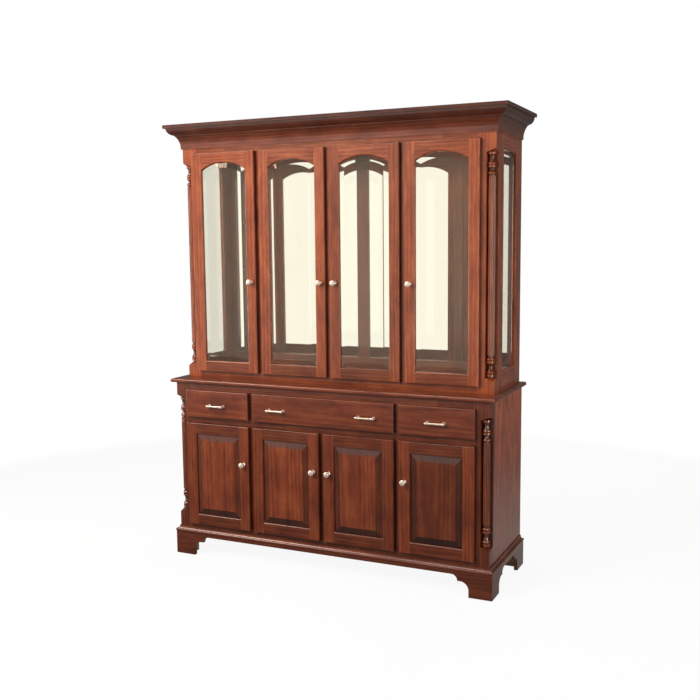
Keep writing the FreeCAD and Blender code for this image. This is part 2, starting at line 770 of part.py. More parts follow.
def build_mirrors(back):
    """Two mirrors on the back board, framed by strips that stand proud of them."""
    low = "hutch_deck_top + strip_rail_width"
    high = "hutch_case_top - strip_rail_width"
    depth = ("strip_front", back)
    wide = ("-hutch_inside", "hutch_inside")
    middle = ("-strip_mullion_width / 2", "strip_mullion_width / 2")
    side = box("back_strip", ("hutch_inside - strip_side_width", "hutch_inside"), depth, (low, high))
    strips = [box("back_strip_low", wide, depth, ("hutch_deck_top", low)),
              box("back_strip_high", wide, depth, (high, "hutch_case_top")),
              box("back_mullion", middle, depth, (low, high)), side, mirror("back_strip_twin", side)]
    node(group("strip_group", strips), "back_strips")
    glass = box("mirror_right", ("strip_mullion_width / 2", "hutch_inside - strip_side_width"),
                (f"{back} - mirror_thickness", back), (low, high))
    node(group("mirror_pair", [glass, mirror("mirror_left", glass)]), "mirrors")


def build_hutch_sides():
    """Glazed side frames: two stiles and two rails rebated for a bevelled pane."""
    thick = ("hutch_inside", "hutch_half")
    height = ("counter_height", "hutch_case_top")
    glass_y = ("side_glass_front", "side_glass_back")
    rebate = box("side_rebate", ("hutch_inside - overrun", "hutch_inside + rebate_depth"),
                 ("side_glass_front - rebate_width", "side_glass_back + rebate_width"),
                 ("side_glass_bottom - rebate_width", "side_glass_top + rebate_width"))
    members = [box("side_front_board", thick, ("hutch_front + post_depth", "side_glass_front"), height),
               box("side_back_board", thick, ("side_glass_back", "back_plane"), height),
               box("side_low_board", thick, glass_y, ("counter_height", "side_glass_bottom")),
               box("side_high_board", thick, glass_y, ("side_glass_top", "hutch_case_top"))]
    pieces = [cut("side_member", member, [rebate]) for member in members]
    pieces.append(facing_out(retainer("side_retainer", side_path), "hutch_inside"))
    twins = [mirror("side_member_twin", piece) for piece in pieces]
    node(group("side_frame_group", pieces + twins), "hutch_side_frames")
    pane = bevelled_plate("side_pane", "pane_edge", "bevel_width", "bevel_depth", side_path)
    facing_out(pane, "hutch_inside + rebate_depth - pane_edge")
    node(group("side_pane_pair", [pane, mirror("side_pane_twin", pane)]), "hutch_side_panes")


def side_path(grow):
    """Opening of a hutch side, grown by a formula."""
    half = f"((side_glass_back - side_glass_front) / 2 + {grow})"
    return rectangle(f"-{half}", f"-({grow})", half, f"side_glass_top - side_glass_bottom + {grow}")


def facing_out(plate, x):
    """Turn a plate drawn for a door so that its front faces out of the right side."""
    plate.Placement.Rotation = FreeCAD.Rotation(FreeCAD.Vector(0, 0, 1), 90)
    return place(plate, x, "(side_glass_front + side_glass_back) / 2", "side_glass_bottom")


def retainer(name, path):
    """Strip pressed in behind a pane, from the pane to the back of its frame."""
    body = new_body(name)
    pad(body, "XZ_Plane", path("rebate_width - pane_clearance"), "rebate_depth - pane_edge")
    pocket(body, "XZ_Plane", path("pane_clearance"))
    return body


def bevelled_plate(name, edge, slope_width, slope_depth, path, seat="rebate_width", step=None):
    """Plate with a thin edge that seats in its frame and a bevelled front that fills the opening.

    The path function draws the frame's opening, grown by a formula.
    """
    body = new_body(name)
    pad(body, "XZ_Plane", path(f"{seat} - pane_clearance"), edge)
    taper = f"-atan(({slope_width}) / ({slope_depth}))"
    pad(body, "XZ_Plane", path("-pane_clearance"), slope_depth, offset=edge, taper=taper)
    if step:
        field = path(f"-pane_clearance - {slope_width} - {step}")
        pad(body, "XZ_Plane", field, step, offset=f"{edge} + {slope_depth}")
    return body


# Doors, drawn about their own centre line with their backs on y zero and their feet on z zero

def stile_path(width, stile, inner, heel):
    """Section of a left-hand stile; the inner edge has its own corners."""
    outer = f"-({width}) / 2"
    sight = f"{outer} + {stile}"
    path = [(outer, "-door_thickness", None),
            (f"{sight} - sticking_radius", "-door_thickness", (LEFT, "sticking_radius")),
            (sight, "-door_thickness + sticking_radius", None)]
    path += [(f"{sight} - ({back})" if back != "0" else sight, depth, None) for back, depth in inner]
    if heel:
        return path + [(f"{outer} + pivot_heel", "0", (LEFT, "pivot_heel")), (outer, "-pivot_heel", None)]
    return path + [(outer, "0", None)]


def rail_path(height, inner):
    """Section of a bottom rail; the upper edge has its own corners."""
    path = [("-door_thickness", "0", None), ("0", "0", None)]
    path += [(depth, f"{height} - ({back})" if back != "0" else height, None)
             for back, depth in reversed(inner)]
    return path + [("-door_thickness + sticking_radius", height, (LEFT, "sticking_radius")),
                   ("-door_thickness", f"{height} - sticking_radius", None)]


REBATE = [("0", "-rebate_depth"), ("rebate_width", "-rebate_depth"), ("rebate_width", "0")]
GROOVE = [("0", "-groove_setback - groove_width"), ("groove_depth", "-groove_setback - groove_width"),
          ("groove_depth", "-groove_setback"), ("0", "-groove_setback"), ("0", "0")]


def door_frame(name, width, height, stile, low_rail, inner, lap, high_rail):
    """Left-hung door frame: bored hinge stile, lock stile and two rails coped over the stiles."""
    hinge = new_body(name + "_hinge_stile")
    pad(hinge, "XY_Plane", stile_path(width, stile, inner, True), height)
    lock = new_body(name + "_lock_stile")
    pad(lock, "XY_Plane", stile_path(width, stile, inner, False), height)
    lock = mirror(name + "_lock_stile_twin", lock)
    low = new_body(name + "_low_rail")
    length = f"({width}) - 2 * {stile} + 2 * {lap}"
    pad(low, "YZ_Plane", rail_path(low_rail, inner), length, symmetric=True)
    high = high_rail(name, low)
    axis_x = f"-({width}) / 2 + pivot_inset"
    spans = (("-overrun", "pin_length + pin_end_gap"),
             (f"{height} - pin_length - pin_end_gap", f"{height} + overrun"))
    bore = "pin_radius + pin_clearance"
    bores = [rod(name + "_bore", bore, axis_x, "-pivot_depth", span) for span in spans]
    blank = eased_board(name + "_blank", width, height, "door_thickness")
    pieces = [cut(name + "_bored", hinge, bores), lock]
    pieces += [cut(name + "_coped", rail, [hinge, lock]) for rail in (low, high)]
    eased = []
    for piece in pieces:
        shaped = doc.addObject("Part::Common", name + "_eased")
        shaped.Base = piece
        shaped.Tool = blank
        eased.append(shaped)
    return group(name, eased)


def arched_path(grow):
    """Opening of a hutch door, with its arched head, grown by a formula."""
    side = f"(arch_half + {grow})"
    foot = f"hutch_rail_low - ({grow})"
    spring = f"arch_centre + sqrt((arch_radius + {grow}) ^ 2 - {side} ^ 2)"
    return [(f"-{side}", foot, None), (side, foot, None), (side, spring, (LEFT, f"arch_radius + {grow}")),
            (f"-{side}", spring, None)]


def arched_rail(name, _low_rail):
    """Top rail with an arched lower edge, rebated and moulded along the arch."""
    body = new_body(name + "_arched_rail")
    side = "(arch_half + rebate_width)"
    lap = "rebate_width"
    ends = f"arch_centre + sqrt(arch_radius ^ 2 - {side} ^ 2)"
    path = [(side, ends, None), (side, "hutch_door_height", None), (f"-{side}", "hutch_door_height", None),
            (f"-{side}", ends, (RIGHT, "arch_radius"))]
    pad(body, "XZ_Plane", path, "door_thickness")
    wide = "(arch_half + rebate_width + overrun)"
    crest = f"arch_centre + sqrt((arch_radius + {lap}) ^ 2 - {wide} ^ 2)"
    foot = f"{ends} - overrun"
    pocket(body, "XZ_Plane", [(f"-{wide}", foot, None), (wide, foot, None),
                              (wide, crest, (LEFT, f"arch_radius + {lap}")), (f"-{wide}", crest, None)],
           "rebate_depth")
    face = -size_of("door_thickness")
    radius = size_of("arch_radius")

    def arris(edge):
        curve = edge.Curve
        return (isinstance(curve, Part.Circle) and abs(curve.Radius - radius) < PICK_TOLERANCE
                and abs(curve.Center.y - face) < PICK_TOLERANCE)
    round_edges(body, "sticking_radius", arris)
    return body


def square_rail(name, low):
    """Top rail that is the bottom rail turned over."""
    twin = doc.addObject("Part::Mirroring", name + "_high_rail")
    twin.Source = low
    twin.Normal = FreeCAD.Vector(0, 0, 1)
    twin.setExpression("Base.z", expand("base_door_height / 2"))
    return twin


def knob():
    """Mushroom knob on a small round foot, with its foot on y zero."""
    path = [(f"{out} * knob_radius" if out else "0", f"-{along} * knob_length" if along else "0", None)
            for out, along in KNOB_SHARES]
    rise = f"{1 - KNOB_SHARES[-1][1]:.2f} * knob_length"
    dome = f"(knob_radius ^ 2 + ({rise}) ^ 2) / (2 * {rise})"
    path[-1] = (*path[-1][:2], (RIGHT, dome))
    path.append(("0", "-knob_length", None))
    return revolve("knob_master", "XY_Plane", path, "V_Axis")


def placed(name, source, x, y, z):
    """Copy of a piece that stands elsewhere."""
    return place(group(name, [source]), x, y, z)


def build_doors(case, frame, filling, word, handle):
    """Four doors of a case: the left two hang on their left edges, the right two on their right."""
    right_frame = mirror(case + "_frame_right_hung", frame)
    bottom = f"{case}_door_bottom"
    for number, place_share in enumerate(DOOR_PLACE_SHARES, start=1):
        hung = LEFT if place_share < 0 else RIGHT
        label = f"{case}_door_{number}"
        x = f"{place_share} * {case}_pitch"
        y = f"{case}_front - door_standoff"
        source = frame if hung == LEFT else right_frame
        node(placed(label + "_frame_placed", source, x, y, bottom), label + "_frame")
        node(placed(label + "_filling_placed", filling, x, y, bottom), f"{label}_{word}")
        side = "+" if hung == LEFT else "-"
        knob_x = f"{x} {side} ({case}_door_width / 2 - {case}_stile / 2)"
        held = placed(label + "_knob_placed", handle, knob_x, f"{case}_front - front_proud",
                      f"{bottom} + {case}_knob_height")
        node(held, label + "_knob")


def build_hutch_doors(handle):
    """Glazed doors with arched heads."""
    frame = door_frame("hutch_door_kit", "hutch_door_width", "hutch_door_height", "hutch_stile",
                       "hutch_rail_low", REBATE, "rebate_width", arched_rail)
    glazed = group("hutch_door_set", [frame, retainer("hutch_retainer", arched_path)])
    pane = bevelled_plate("hutch_pane", "pane_edge", "bevel_width", "bevel_depth", arched_path)
    place(pane, "0", "-rebate_depth + pane_edge", "0")
    build_doors("hutch", glazed, pane, "pane", handle)


def panel_path(grow):
    """Opening of a base door, grown by a formula."""
    half = f"(base_door_width / 2 - base_stile + {grow})"
    return rectangle(f"-{half}", f"base_stile - ({grow})", half, f"base_door_height - base_stile + {grow}")


def build_base_doors(handle):
    """Doors with raised panels held in the grooves of their frames."""
    frame = door_frame("base_door_kit", "base_door_width", "base_door_height", "base_stile",
                       "base_stile", GROOVE, "groove_depth", square_rail)
    panel = bevelled_plate("raised_panel", "groove_width", "raise_width", "raise_depth", panel_path,
                           "groove_depth", "raise_step")
    place(panel, "0", "-groove_setback", "0")
    build_doors("base", frame, panel, "panel", handle)


def bracket(name, x, front, level, up):
    """Pivot bracket: a tang let into the rail, a rounded nose and the pin that the door turns on."""
    axis_y = f"{front} - door_standoff - pivot_depth"
    plate_z = ((level, f"{level} + bracket_thickness") if not up else
               (f"{level} - bracket_thickness", level))
    plate = box(name + "_plate", (f"{x} - bracket_radius", f"{x} + bracket_radius"),
                (axis_y, f"{front} + bracket_tang"), plate_z)
    nose = rod(name + "_nose", "bracket_radius", x, axis_y, plate_z)
    pin_z = ((level, f"{level} + bracket_gap + pin_length") if up else
             (f"{level} - bracket_gap - pin_length", level))
    pin = rod(name + "_pin", "pin_radius", x, axis_y, pin_z)
    whole = doc.addObject("Part::MultiFuse", name)
    whole.Shapes = [plate, nose, pin]
    return whole


def build_brackets():
    """Two pivot brackets for each door, above and below it."""
    brackets = []
    for case in ("hutch", "base"):
        front = f"{case}_front"
        for place_share in DOOR_PLACE_SHARES[2:]:
            x = f"({place_share} * {case}_pitch + {case}_door_width / 2 - pivot_inset)"
            low = bracket(f"{case}_pivot_low", x, front, f"({case}_door_bottom - bracket_gap)", True)
            high = bracket(f"{case}_pivot_high", x, front, f"({case}_door_top + bracket_gap)", False)
            for piece in (low, high):
                brackets += [piece, mirror(piece.Name + "_twin", piece)]
    return node(group("bracket_group", brackets), "pivot_brackets")


# Drawers

def drawer_box(name, width, centre):
    """Box of five boards: two sides, a front and a back between them, and a bottom."""
    half = f"({width}) / 2"
    depth = ("box_front", "box_front + box_depth")
    height = ("box_floor", "box_floor + box_height")
    within = (f"{centre} - {half} + box_side", f"{centre} + {half} - box_side")
    walls = ((f"{centre} - {half}", within[0]), (within[1], f"{centre} + {half}"))
    sides = [box(name + "_side", wall, depth, height) for wall in walls]
    ends = [box(name + "_end", within, span, height) for span in
            (("box_front", "box_front + box_side"),
             ("box_front + box_depth - box_side", "box_front + box_depth"))]
    bottom = box(name + "_bottom", within, ("box_front + box_side", "box_front + box_depth - box_side"),
                 ("box_floor + box_bottom_rise", "box_floor + box_bottom_rise + box_bottom"))
    return group(name, sides + ends + [bottom])


def pull():
    """Bar pull on two footed posts, with the feet on y zero."""
    half = [(f"{along} * pull_length / 2" if along else "0", f"{out} * pull_radius", None)
            for along, out in PULL_BAR_SHARES]
    left = [(f"-({along})", out, None) for along, out, _ in reversed(half[1:])]
    tips = [("pull_length / 2", "0", None), ("-pull_length / 2", "0", None)]
    bar = revolve("pull_bar", "XY_Plane", left + half + tips, "H_Axis")
    centre = "(pull_reach - pull_radius)"
    place(bar, "0", f"-{centre}", "0")
    path = [("0", "0", None)]
    path += [(f"{out} * pull_foot_radius", f"-{along} * {centre}" if along else "0", None)
             for along, out in PULL_POST_SHARES]
    path.append(("0", f"-{centre}", None))
    post = revolve("pull_post", "XY_Plane", path, "V_Axis")
    posts = [placed("pull_post_placed", post, f"{sign}pull_spacing / 2", "0", "0") for sign in ("", "-")]
    whole = doc.addObject("Part::MultiFuse", "pull_master")
    whole.Shapes = [bar] + posts
    return whole


def build_drawers():
    """Three drawers with their pulls, and the guides that they run between."""
    handle = pull()
    pull_z = "drawer_bottom + drawer_height / 2 - pull_drop"
    far_left, _, _, far_right = (f"{share} * base_pitch" for share in DOOR_PLACE_SHARES)
    side_sizes = ("base_door_width", "side_box_width", ("0",))
    middle_sizes = ("middle_drawer_width", "middle_box_width", ("-pull_offset", "pull_offset"))
    drawers = (("left", far_left, "-side_box_centre", side_sizes), ("middle", "0", "0", middle_sizes),
               ("right", far_right, "side_box_centre", side_sizes))
    for name, centre, box_centre, (width, box_width, pulls) in drawers:
        label = f"drawer_{name}"
        front = eased_board(label + "_board", width, "drawer_height", "door_thickness")
        node(place(front, centre, "base_front - door_standoff", "drawer_bottom"), label + "_front")
        node(drawer_box(label + "_boards", box_width, box_centre), label + "_box")
        handles = [placed(label + "_pull_placed", handle, f"{centre} + {x}", "base_front - front_proud",
                          pull_z) for x in pulls]
        node(group(label + "_pull_group", handles), label + "_pull")
    build_guides()


def build_guides():
    """Strips on the decks that keep the drawer boxes straight, from the walls to each box."""
    side_reach = "(side_box_width / 2 + guide_clearance)"
    spans = (("middle_box_width / 2 + guide_clearance", "partition_inner"),
             ("partition_outer", f"side_box_centre - {side_reach}"),
             (f"side_box_centre + {side_reach}", "base_inside"))
    guides = []
    for span in spans:
        guide = box("guide", span, ("base_front + post_depth", "back_plane - back_thickness"),
                    ("drawer_deck_top", "drawer_deck_top + guide_height"))
        guides += [guide, mirror("guide_twin", guide)]
    node(group("guide_group", guides), "drawer_guides")


def check_and_write():
    """Stop at a failed piece, then write each labelled piece to a file of its own."""
    doc.recompute()
    failed = [item.Label for item in doc.Objects if {"Invalid", "Error"} & set(item.State)]
    if failed:
        raise ValueError("failed: " + ", ".join(failed))
    for item in nodes:
        if item.Shape.isNull() or not item.Shape.isValid():
            raise ValueError("no valid shape: " + item.Label)
    os.makedirs("parts", exist_ok=True)
    for item in nodes:
        item.Shape.exportStep(f"parts/{item.Label}.step")
    print(len(nodes), "pieces written")


fill_sheet()
brackets = build_brackets()
build_mouldings()
build_posts(brackets)
build_base_case(brackets)
build_hutch_case(brackets)
door_knob = knob()
build_hutch_doors(door_knob)
build_base_doors(door_knob)
build_drawers()
check_and_write()
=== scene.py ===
import logging
import math
from dataclasses import dataclass, replace
from enum import Enum

import bmesh
import bpy
from mathutils import Matrix, Vector


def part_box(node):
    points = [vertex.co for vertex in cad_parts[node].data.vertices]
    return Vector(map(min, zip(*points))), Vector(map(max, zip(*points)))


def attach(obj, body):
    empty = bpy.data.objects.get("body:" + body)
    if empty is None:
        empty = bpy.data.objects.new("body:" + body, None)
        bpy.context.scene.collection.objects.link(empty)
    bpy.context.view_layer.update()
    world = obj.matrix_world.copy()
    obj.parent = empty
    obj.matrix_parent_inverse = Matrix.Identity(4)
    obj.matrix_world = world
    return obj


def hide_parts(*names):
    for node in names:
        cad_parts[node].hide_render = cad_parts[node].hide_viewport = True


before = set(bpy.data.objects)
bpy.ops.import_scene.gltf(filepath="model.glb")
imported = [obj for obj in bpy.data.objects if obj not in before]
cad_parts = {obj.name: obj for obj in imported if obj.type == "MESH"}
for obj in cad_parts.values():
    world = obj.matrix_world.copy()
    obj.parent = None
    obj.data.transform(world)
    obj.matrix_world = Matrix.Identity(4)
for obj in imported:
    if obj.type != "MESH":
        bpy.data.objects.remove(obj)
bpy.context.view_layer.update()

log = logging.getLogger("dresser_with_hutch")

Colour = tuple[float, float, float]
Point = tuple[float, float, float]
Profile = tuple[tuple[float, float], ...]


# Shader expressions

class Value:
    """A number, colour or vector that a shader works out, written as a Python expression."""

    def __init__(self, graph: "Graph", socket: bpy.types.NodeSocket) -> None:
        """Wrap one output socket of a graph."""
        self.graph = graph
        self.socket = socket

    def _math(self, operation: str, *terms: "Value | float") -> "Value":
        """Add one Math node, with its terms in order."""
        return self.graph.make("ShaderNodeMath", {"operation": operation}, dict(enumerate(terms)))

    def __add__(self, other: "Value | float") -> "Value":
        """Sum."""
        return self._math("ADD", self, other)

    def __radd__(self, other: float) -> "Value":
        """Sum with a number in front."""
        return self._math("ADD", other, self)

    def __sub__(self, other: "Value | float") -> "Value":
        """Difference."""
        return self._math("SUBTRACT", self, other)

    def __rsub__(self, other: float) -> "Value":
        """Difference from a number."""
        return self._math("SUBTRACT", other, self)

    def __mul__(self, other: "Value | float") -> "Value":
        """Product."""
        return self._math("MULTIPLY", self, other)

    def __rmul__(self, other: float) -> "Value":
        """Product with a number in front."""
        return self._math("MULTIPLY", other, self)

    def __truediv__(self, other: "Value | float") -> "Value":
        """Quotient."""
        return self._math("DIVIDE", self, other)

    def __rtruediv__(self, other: float) -> "Value":
        """Quotient with a number in front."""
        return self._math("DIVIDE", other, self)

    def __gt__(self, other: "Value | float") -> "Value":
        """One where this is the larger, else zero."""
        return self._math("GREATER_THAN", self, other)

    def __lt__(self, other: "Value | float") -> "Value":
        """One where this is the smaller, else zero."""
        return self._math("LESS_THAN", self, other)

    def __abs__(self) -> "Value":
        """Size without its sign."""
        return self._math("ABSOLUTE", self)

    def root(self) -> "Value":
        """Square root."""
        return self._math("SQRT", self)

    def sine(self) -> "Value":
        """Sine, from radians."""
        return self._math("SINE", self)

    def part(self) -> "Value":
        """What is left after the whole number."""
        return self._math("FRACT", self)

    def whole(self) -> "Value":
        """The whole number below."""
        return self._math("FLOOR", self)

    def most(self, other: "Value | float") -> "Value":
        """The larger of the two."""
        return self._math("MAXIMUM", self, other)

    def least(self, other: "Value | float") -> "Value":
        """The smaller of the two."""
        return self._math("MINIMUM", self, other)

    def ease(self, low: float, high: float) -> "Value":
        """Rise smoothly from zero at low to one at high.

        Args:
            low: Where the rise starts.
            high: Where the rise ends.

        Returns:
            The eased value.
        """
        settings = {"interpolation_type": "SMOOTHSTEP"}
        sockets = {"Value": self, "From Min": low, "From Max": high}
        return self.graph.make("ShaderNodeMapRange", settings, sockets)


class Graph:
    """The nodes of one material."""

    NOISE_ROUGHNESS = 0.55

    def __init__(self, name: str) -> None:
        """Start an empty material.

        Args:
            name: Name of the material.
        """
        self.material = bpy.data.materials.new(name)
        self.material.use_nodes = True
        self.tree = self.material.node_tree
        self.tree.nodes.clear()
        self._axes: dict[str, Value] = {}

    @classmethod
    def of_world(cls, tree: bpy.types.NodeTree) -> "Graph":
        """Work on the nodes of a world.

        Args:
            tree: The world's nodes.

        Returns:
            A graph on that tree, with no material.
        """
        graph = cls.__new__(cls)
        graph.material, graph.tree, graph._axes = None, tree, {}
        return graph

    def make(self, kind: str, settings: dict, sockets: dict, out: int | str = 0) -> Value:
        """Add one node.

        Args:
            kind: The node's type.
            settings: Its own settings, set first; stops are a ramp's places and colours.
            sockets: The values or links of its inputs, by name or number.
            out: Which output is wanted.

        Returns:
            That output.
        """
        node = self.tree.nodes.new(kind)
        for name, setting in settings.items():
            if name == "stops":
                ramp = node.color_ramp.elements
                while len(ramp) < len(setting):
                    ramp.new(1.0)
                for stop, (place, colour) in zip(ramp, setting):
                    stop.position = place
                    stop.color = (*colour, 1.0)
            else:
                setattr(node, name, setting)
        for key, value in sockets.items():
            if isinstance(value, Value):
                self.tree.links.new(value.socket, node.inputs[key])
            else:
                node.inputs[key].default_value = value
        return Value(self, node.outputs[out])

    def axis(self, letter: str) -> Value:
        """One coordinate of the surface in the part's frame.

        Args:
            letter: x, y or z.

        Returns:
            The coordinate, in metres.
        """
        if not self._axes:
            place = self.make("ShaderNodeTexCoord", {}, {}, "Object")
            split = self.make("ShaderNodeSeparateXYZ", {}, {0: place}).socket.node
            self._axes = {axis: Value(self, split.outputs[n]) for n, axis in enumerate("xyz")}
        return self._axes[letter]

    def vector(self, x: "Value | float", y: "Value | float", z: "Value | float") -> Value:
        """Three numbers as one vector."""
        return self.make("ShaderNodeCombineXYZ", {}, {0: x, 1: y, 2: z})

    def split(self, vector: Value) -> tuple[Value, Value, Value]:
        """Take a vector apart into its three numbers."""
        node = self.make("ShaderNodeSeparateXYZ", {}, {0: vector}).socket.node
        return tuple(Value(self, node.outputs[n]) for n in range(3))

    def noise(self, x: "Value | float", y: "Value | float", z: "Value | float", detail: float = 2.0) -> Value:
        """Soft noise about one half.

        Args:
            x: First coordinate, in cells of the noise.
            y: Second coordinate.
            z: Third coordinate.
            detail: How many finer layers it has.

        Returns:
            The noise, from zero to one.
        """
        sockets = {"Vector": self.vector(x, y, z), "Scale": 1.0, "Detail": detail}
        sockets["Roughness"] = self.NOISE_ROUGHNESS
        return self.make("ShaderNodeTexNoise", {}, sockets)

    def clouds(self, scales: Point, seed: float = 0.0, detail: float = 2.0) -> Value:
        """Soft noise in the part's frame, with so many cells to the metre along x, y and z."""
        x, y, z = (self.axis(letter) * scale for letter, scale in zip("xyz", scales))
        return self.noise(x + seed, y, z, detail)

    def choose(self, share: Value, first: Value, second: Value) -> Value:
        """One vector or the other, by a share from zero to one."""
        return self.make("ShaderNodeMix", {"data_type": "VECTOR"}, {0: share, 4: first, 5: second}, 1)

    def blend(self, share: "Value | float", first: "Value | Colour", second: "Value | Colour",
              mode: str = "MIX") -> Value:
        """Mix two colours.

        Args:
            share: How much of the second.
            first: The colour underneath.
            second: The colour on top.
            mode: How they mix.

        Returns:
            The mixed colour.
        """
        ends = [value if isinstance(value, Value) else (*value, 1.0) for value in (first, second)]
        settings = {"data_type": "RGBA", "blend_type": mode}
        return self.make("ShaderNodeMix", settings, {0: share, 6: ends[0], 7: ends[1]}, 2)

    def grey(self, level: Value) -> Value:
        """A grey of that level."""
        return self.make("ShaderNodeCombineColor", {}, {0: level, 1: level, 2: level})

    def bump(self, height: Value, strength: float, distance: float) -> Value:
        """Turn a height from zero to one into a normal; one stands for the distance, in metres."""
        return self.make("ShaderNodeBump", {}, {"Height": height, "Strength": strength, "Distance": distance})

    def surface(self, sockets: dict) -> bpy.types.Material:
        """Finish the material with a surface shader that has these inputs."""
        return self.close(self.make("ShaderNodeBsdfPrincipled", {}, sockets))

    def close(self, shader: Value) -> bpy.types.Material:
        """Join a shader to the material's output.

        Args:
            shader: The shader.

        Returns:
            The finished material.
        """
        output = self.tree.nodes.new("ShaderNodeOutputMaterial")
        self.tree.links.new(shader.socket, output.inputs["Surface"])
        return self.material


# How the boards of a node lie

# A height above the whole object
OVERHEAD = 3.0

# Numbers that tell the boards of a node apart
RIGHT_BOARD = 2.0
LOWER_RAIL = 3.0
UPPER_RAIL = 5.0
FACE_RAIL = 5.0
SIDE_RAIL = 2.0
RIGHT_SIDE = 5.0
BOX_BACK = 4.0


class Run(Enum):
    """Which way a board runs: the axes along its grain, across it, and through its face."""

    UPRIGHT_FRONT = "zxy"
    UPRIGHT_SIDE = "zyx"
    SIDEWAYS_FRONT = "xzy"
    SIDEWAYS_TOP = "xyz"
    INWARD_SIDE = "yzx"

    def turn(self, graph: Graph, centre: float = 0.0) -> Value:
        """Place along, across and through a board whose middle lies at the centre, in metres."""
        along, across, through = (graph.axis(letter) for letter in self.value)
        return graph.vector(along, across - centre, through)


@dataclass(frozen=True)
class Fade:
    """A factor that changes evenly from one height to another: a wood tone that paints light and shade by height,
    or a share of the top coat.
    """

    low: float
    high: float
    share: float

    def tone(self, graph: Graph) -> Value:
        """One below, the share above."""
        return 1.0 - graph.axis("z").ease(self.low, self.high) * (1.0 - self.share)


class Lay:
    """How the boards of a node lie."""

    def boards(self, graph: Graph) -> tuple[Value, "Value | float"]:
        """Place on the board, and the number of the board."""
        raise NotImplementedError

    def tone(self, graph: Graph) -> "Value | float":
        """How light the wood is drawn at a place, beside the rest of the node; some lays paint light and shade
        this way.
        """
        return 1.0

    def polish(self, graph: Graph) -> "Value | float":
        """How much of the lacquer's top coat a place has."""
        return 1.0


@dataclass(frozen=True)
class OneBoard(Lay):
    """A node whose grain runs one way."""

    run: Run
    centre: float = 0.0

    def boards(self, graph: Graph) -> tuple[Value, "Value | float"]:
        """Place on the board, and the number of the board."""
        return self.run.turn(graph, self.centre), 0.0


@dataclass(frozen=True)
class RaisedPanel(OneBoard):
    """A panel whose bevels are drawn darker: partly end grain taking up more staining, partly painted shade, the
    lower bevel darkest as it faces down.
    """

    low: tuple[float, float] = (0.0, 0.0)
    high: tuple[float, float] = (0.0, 0.0)
    bevel: float = 0.030
    # Tones of the lower and upper end bevels and of the side bevels: partly end grain, partly painted shade, with
    # the lower bevel, which faces down, darkest.
    ends: tuple[float, float] = (0.22, 0.45)
    sides: float = 0.50

    def tone(self, graph: Graph) -> "Value | float":
        """Darken the four bevels, split on their mitres: partly end grain, partly painted shade.

        Args:
            graph: The material's graph.

        Returns:
            One on the field, less on the bevels.
        """
        x, z = graph.axis("x"), graph.axis("z")
        side = (x - self.low[0]).least(self.high[0] - x)
        end = (z - self.low[1]).least(self.high[1] - z)
        at_end = end < side
        lower, upper = self.ends
        above = z > (self.low[1] + self.high[1]) / 2.0
        bevel_stain_and_shade = at_end * (end < self.bevel) * (above * (lower - upper) + (1.0 - lower))
        return 1.0 - bevel_stain_and_shade - (1.0 - at_end) * (side < self.bevel) * (1.0 - self.sides)


@dataclass(frozen=True)
class Veneer(Lay):
    """A wide panel faced with leaves of sliced veneer, side by side."""

    leaf: float = 0.27

    def boards(self, graph: Graph) -> tuple[Value, "Value | float"]:
        """Place on the leaf, and the number of the leaf."""
        order = graph.axis("x") / self.leaf
        return graph.vector(graph.axis("z"), (order.part() - 0.5) * self.leaf, graph.axis("y")), order.whole()


@dataclass(frozen=True)
class PairOfBoards(Lay):
    """Two boards that mirror each other, such as posts or sides."""

    run: Run
    lighting_by_height: Fade | None = None
    shine: Fade | None = None

    def tone(self, graph: Graph) -> "Value | float":
        """How light the wood is drawn at its height: painted light and shade."""
        return self.lighting_by_height.tone(graph) if self.lighting_by_height else 1.0

    def polish(self, graph: Graph) -> "Value | float":
        """How much of the lacquer's top coat a height has."""
        return self.shine.tone(graph) if self.shine else 1.0

    def boards(self, graph: Graph) -> tuple[Value, "Value | float"]:
        """Place on the board, and the number of the board."""
        return self.run.turn(graph), (graph.axis("x") > 0.0) * RIGHT_BOARD


@dataclass(frozen=True)
class ReededColumns(PairOfBoards):
    """Turned columns on the front corners, drawn darker in their grooves and coves: painted shade."""

    base_axis: tuple[float, float] = (0.7835, -0.2045)
    hutch_axis: tuple[float, float] = (0.771, -0.1115)
    counter: float = 0.893
    groove: tuple[float, float] = (0.0156, 0.0170)
    groove_shade: float = 0.36

    def tone(self, graph: Graph) -> "Value | float":
        """Darken the wood near the axis of a column: painted shade in the grooves and coves.

        Args:
            graph: The material's graph.

        Returns:
            The tone of its height, less in the grooves.
        """
        upper = graph.axis("z") > self.counter
        axes = zip(self.base_axis, self.hutch_axis)
        across, inward = (base + upper * (hutch - base) for base, hutch in axes)
        x, y = abs(graph.axis("x")) - across, graph.axis("y") - inward
        crest = (x * x + y * y).root().ease(*self.groove)
        return (self.groove_shade + crest * (1.0 - self.groove_shade)) * super().tone(graph)


@dataclass(frozen=True)
class DoorFrame(Lay):
    """Two stiles with two rails between them."""

    middle: float
    sight_half: float
    mid_height: float
    rail_shades: tuple[float, float] = (1.0, 1.0)

    def tone(self, graph: Graph) -> "Value | float":
        """Give the lower and the upper rail a tone of their own: painted shade that draws the rails darker than
        the stiles.

        Args:
            graph: The material's graph.

        Returns:
            One on the stiles, the rail's tone on a rail.
        """
        lower, upper = self.rail_shades
        rail = abs(graph.axis("x") - self.middle) < self.sight_half
        above = graph.axis("z") > self.mid_height
        return 1.0 + rail * (above * (upper - lower) + (lower - 1.0))

    def boards(self, graph: Graph) -> tuple[Value, "Value | float"]:
        """Find the stile or rail that a place lies on.

        Args:
            graph: The material's graph.

        Returns:
            Place on the board, and the number of the board.
        """
        x, z = graph.axis("x"), graph.axis("z")
        rail = abs(x - self.middle) < self.sight_half
        rail_number = LOWER_RAIL + (z > self.mid_height) * (UPPER_RAIL - LOWER_RAIL)
        number = rail * rail_number + (1.0 - rail) * (x > self.middle)
        return graph.choose(rail, Run.UPRIGHT_FRONT.turn(graph), Run.SIDEWAYS_FRONT.turn(graph)), number


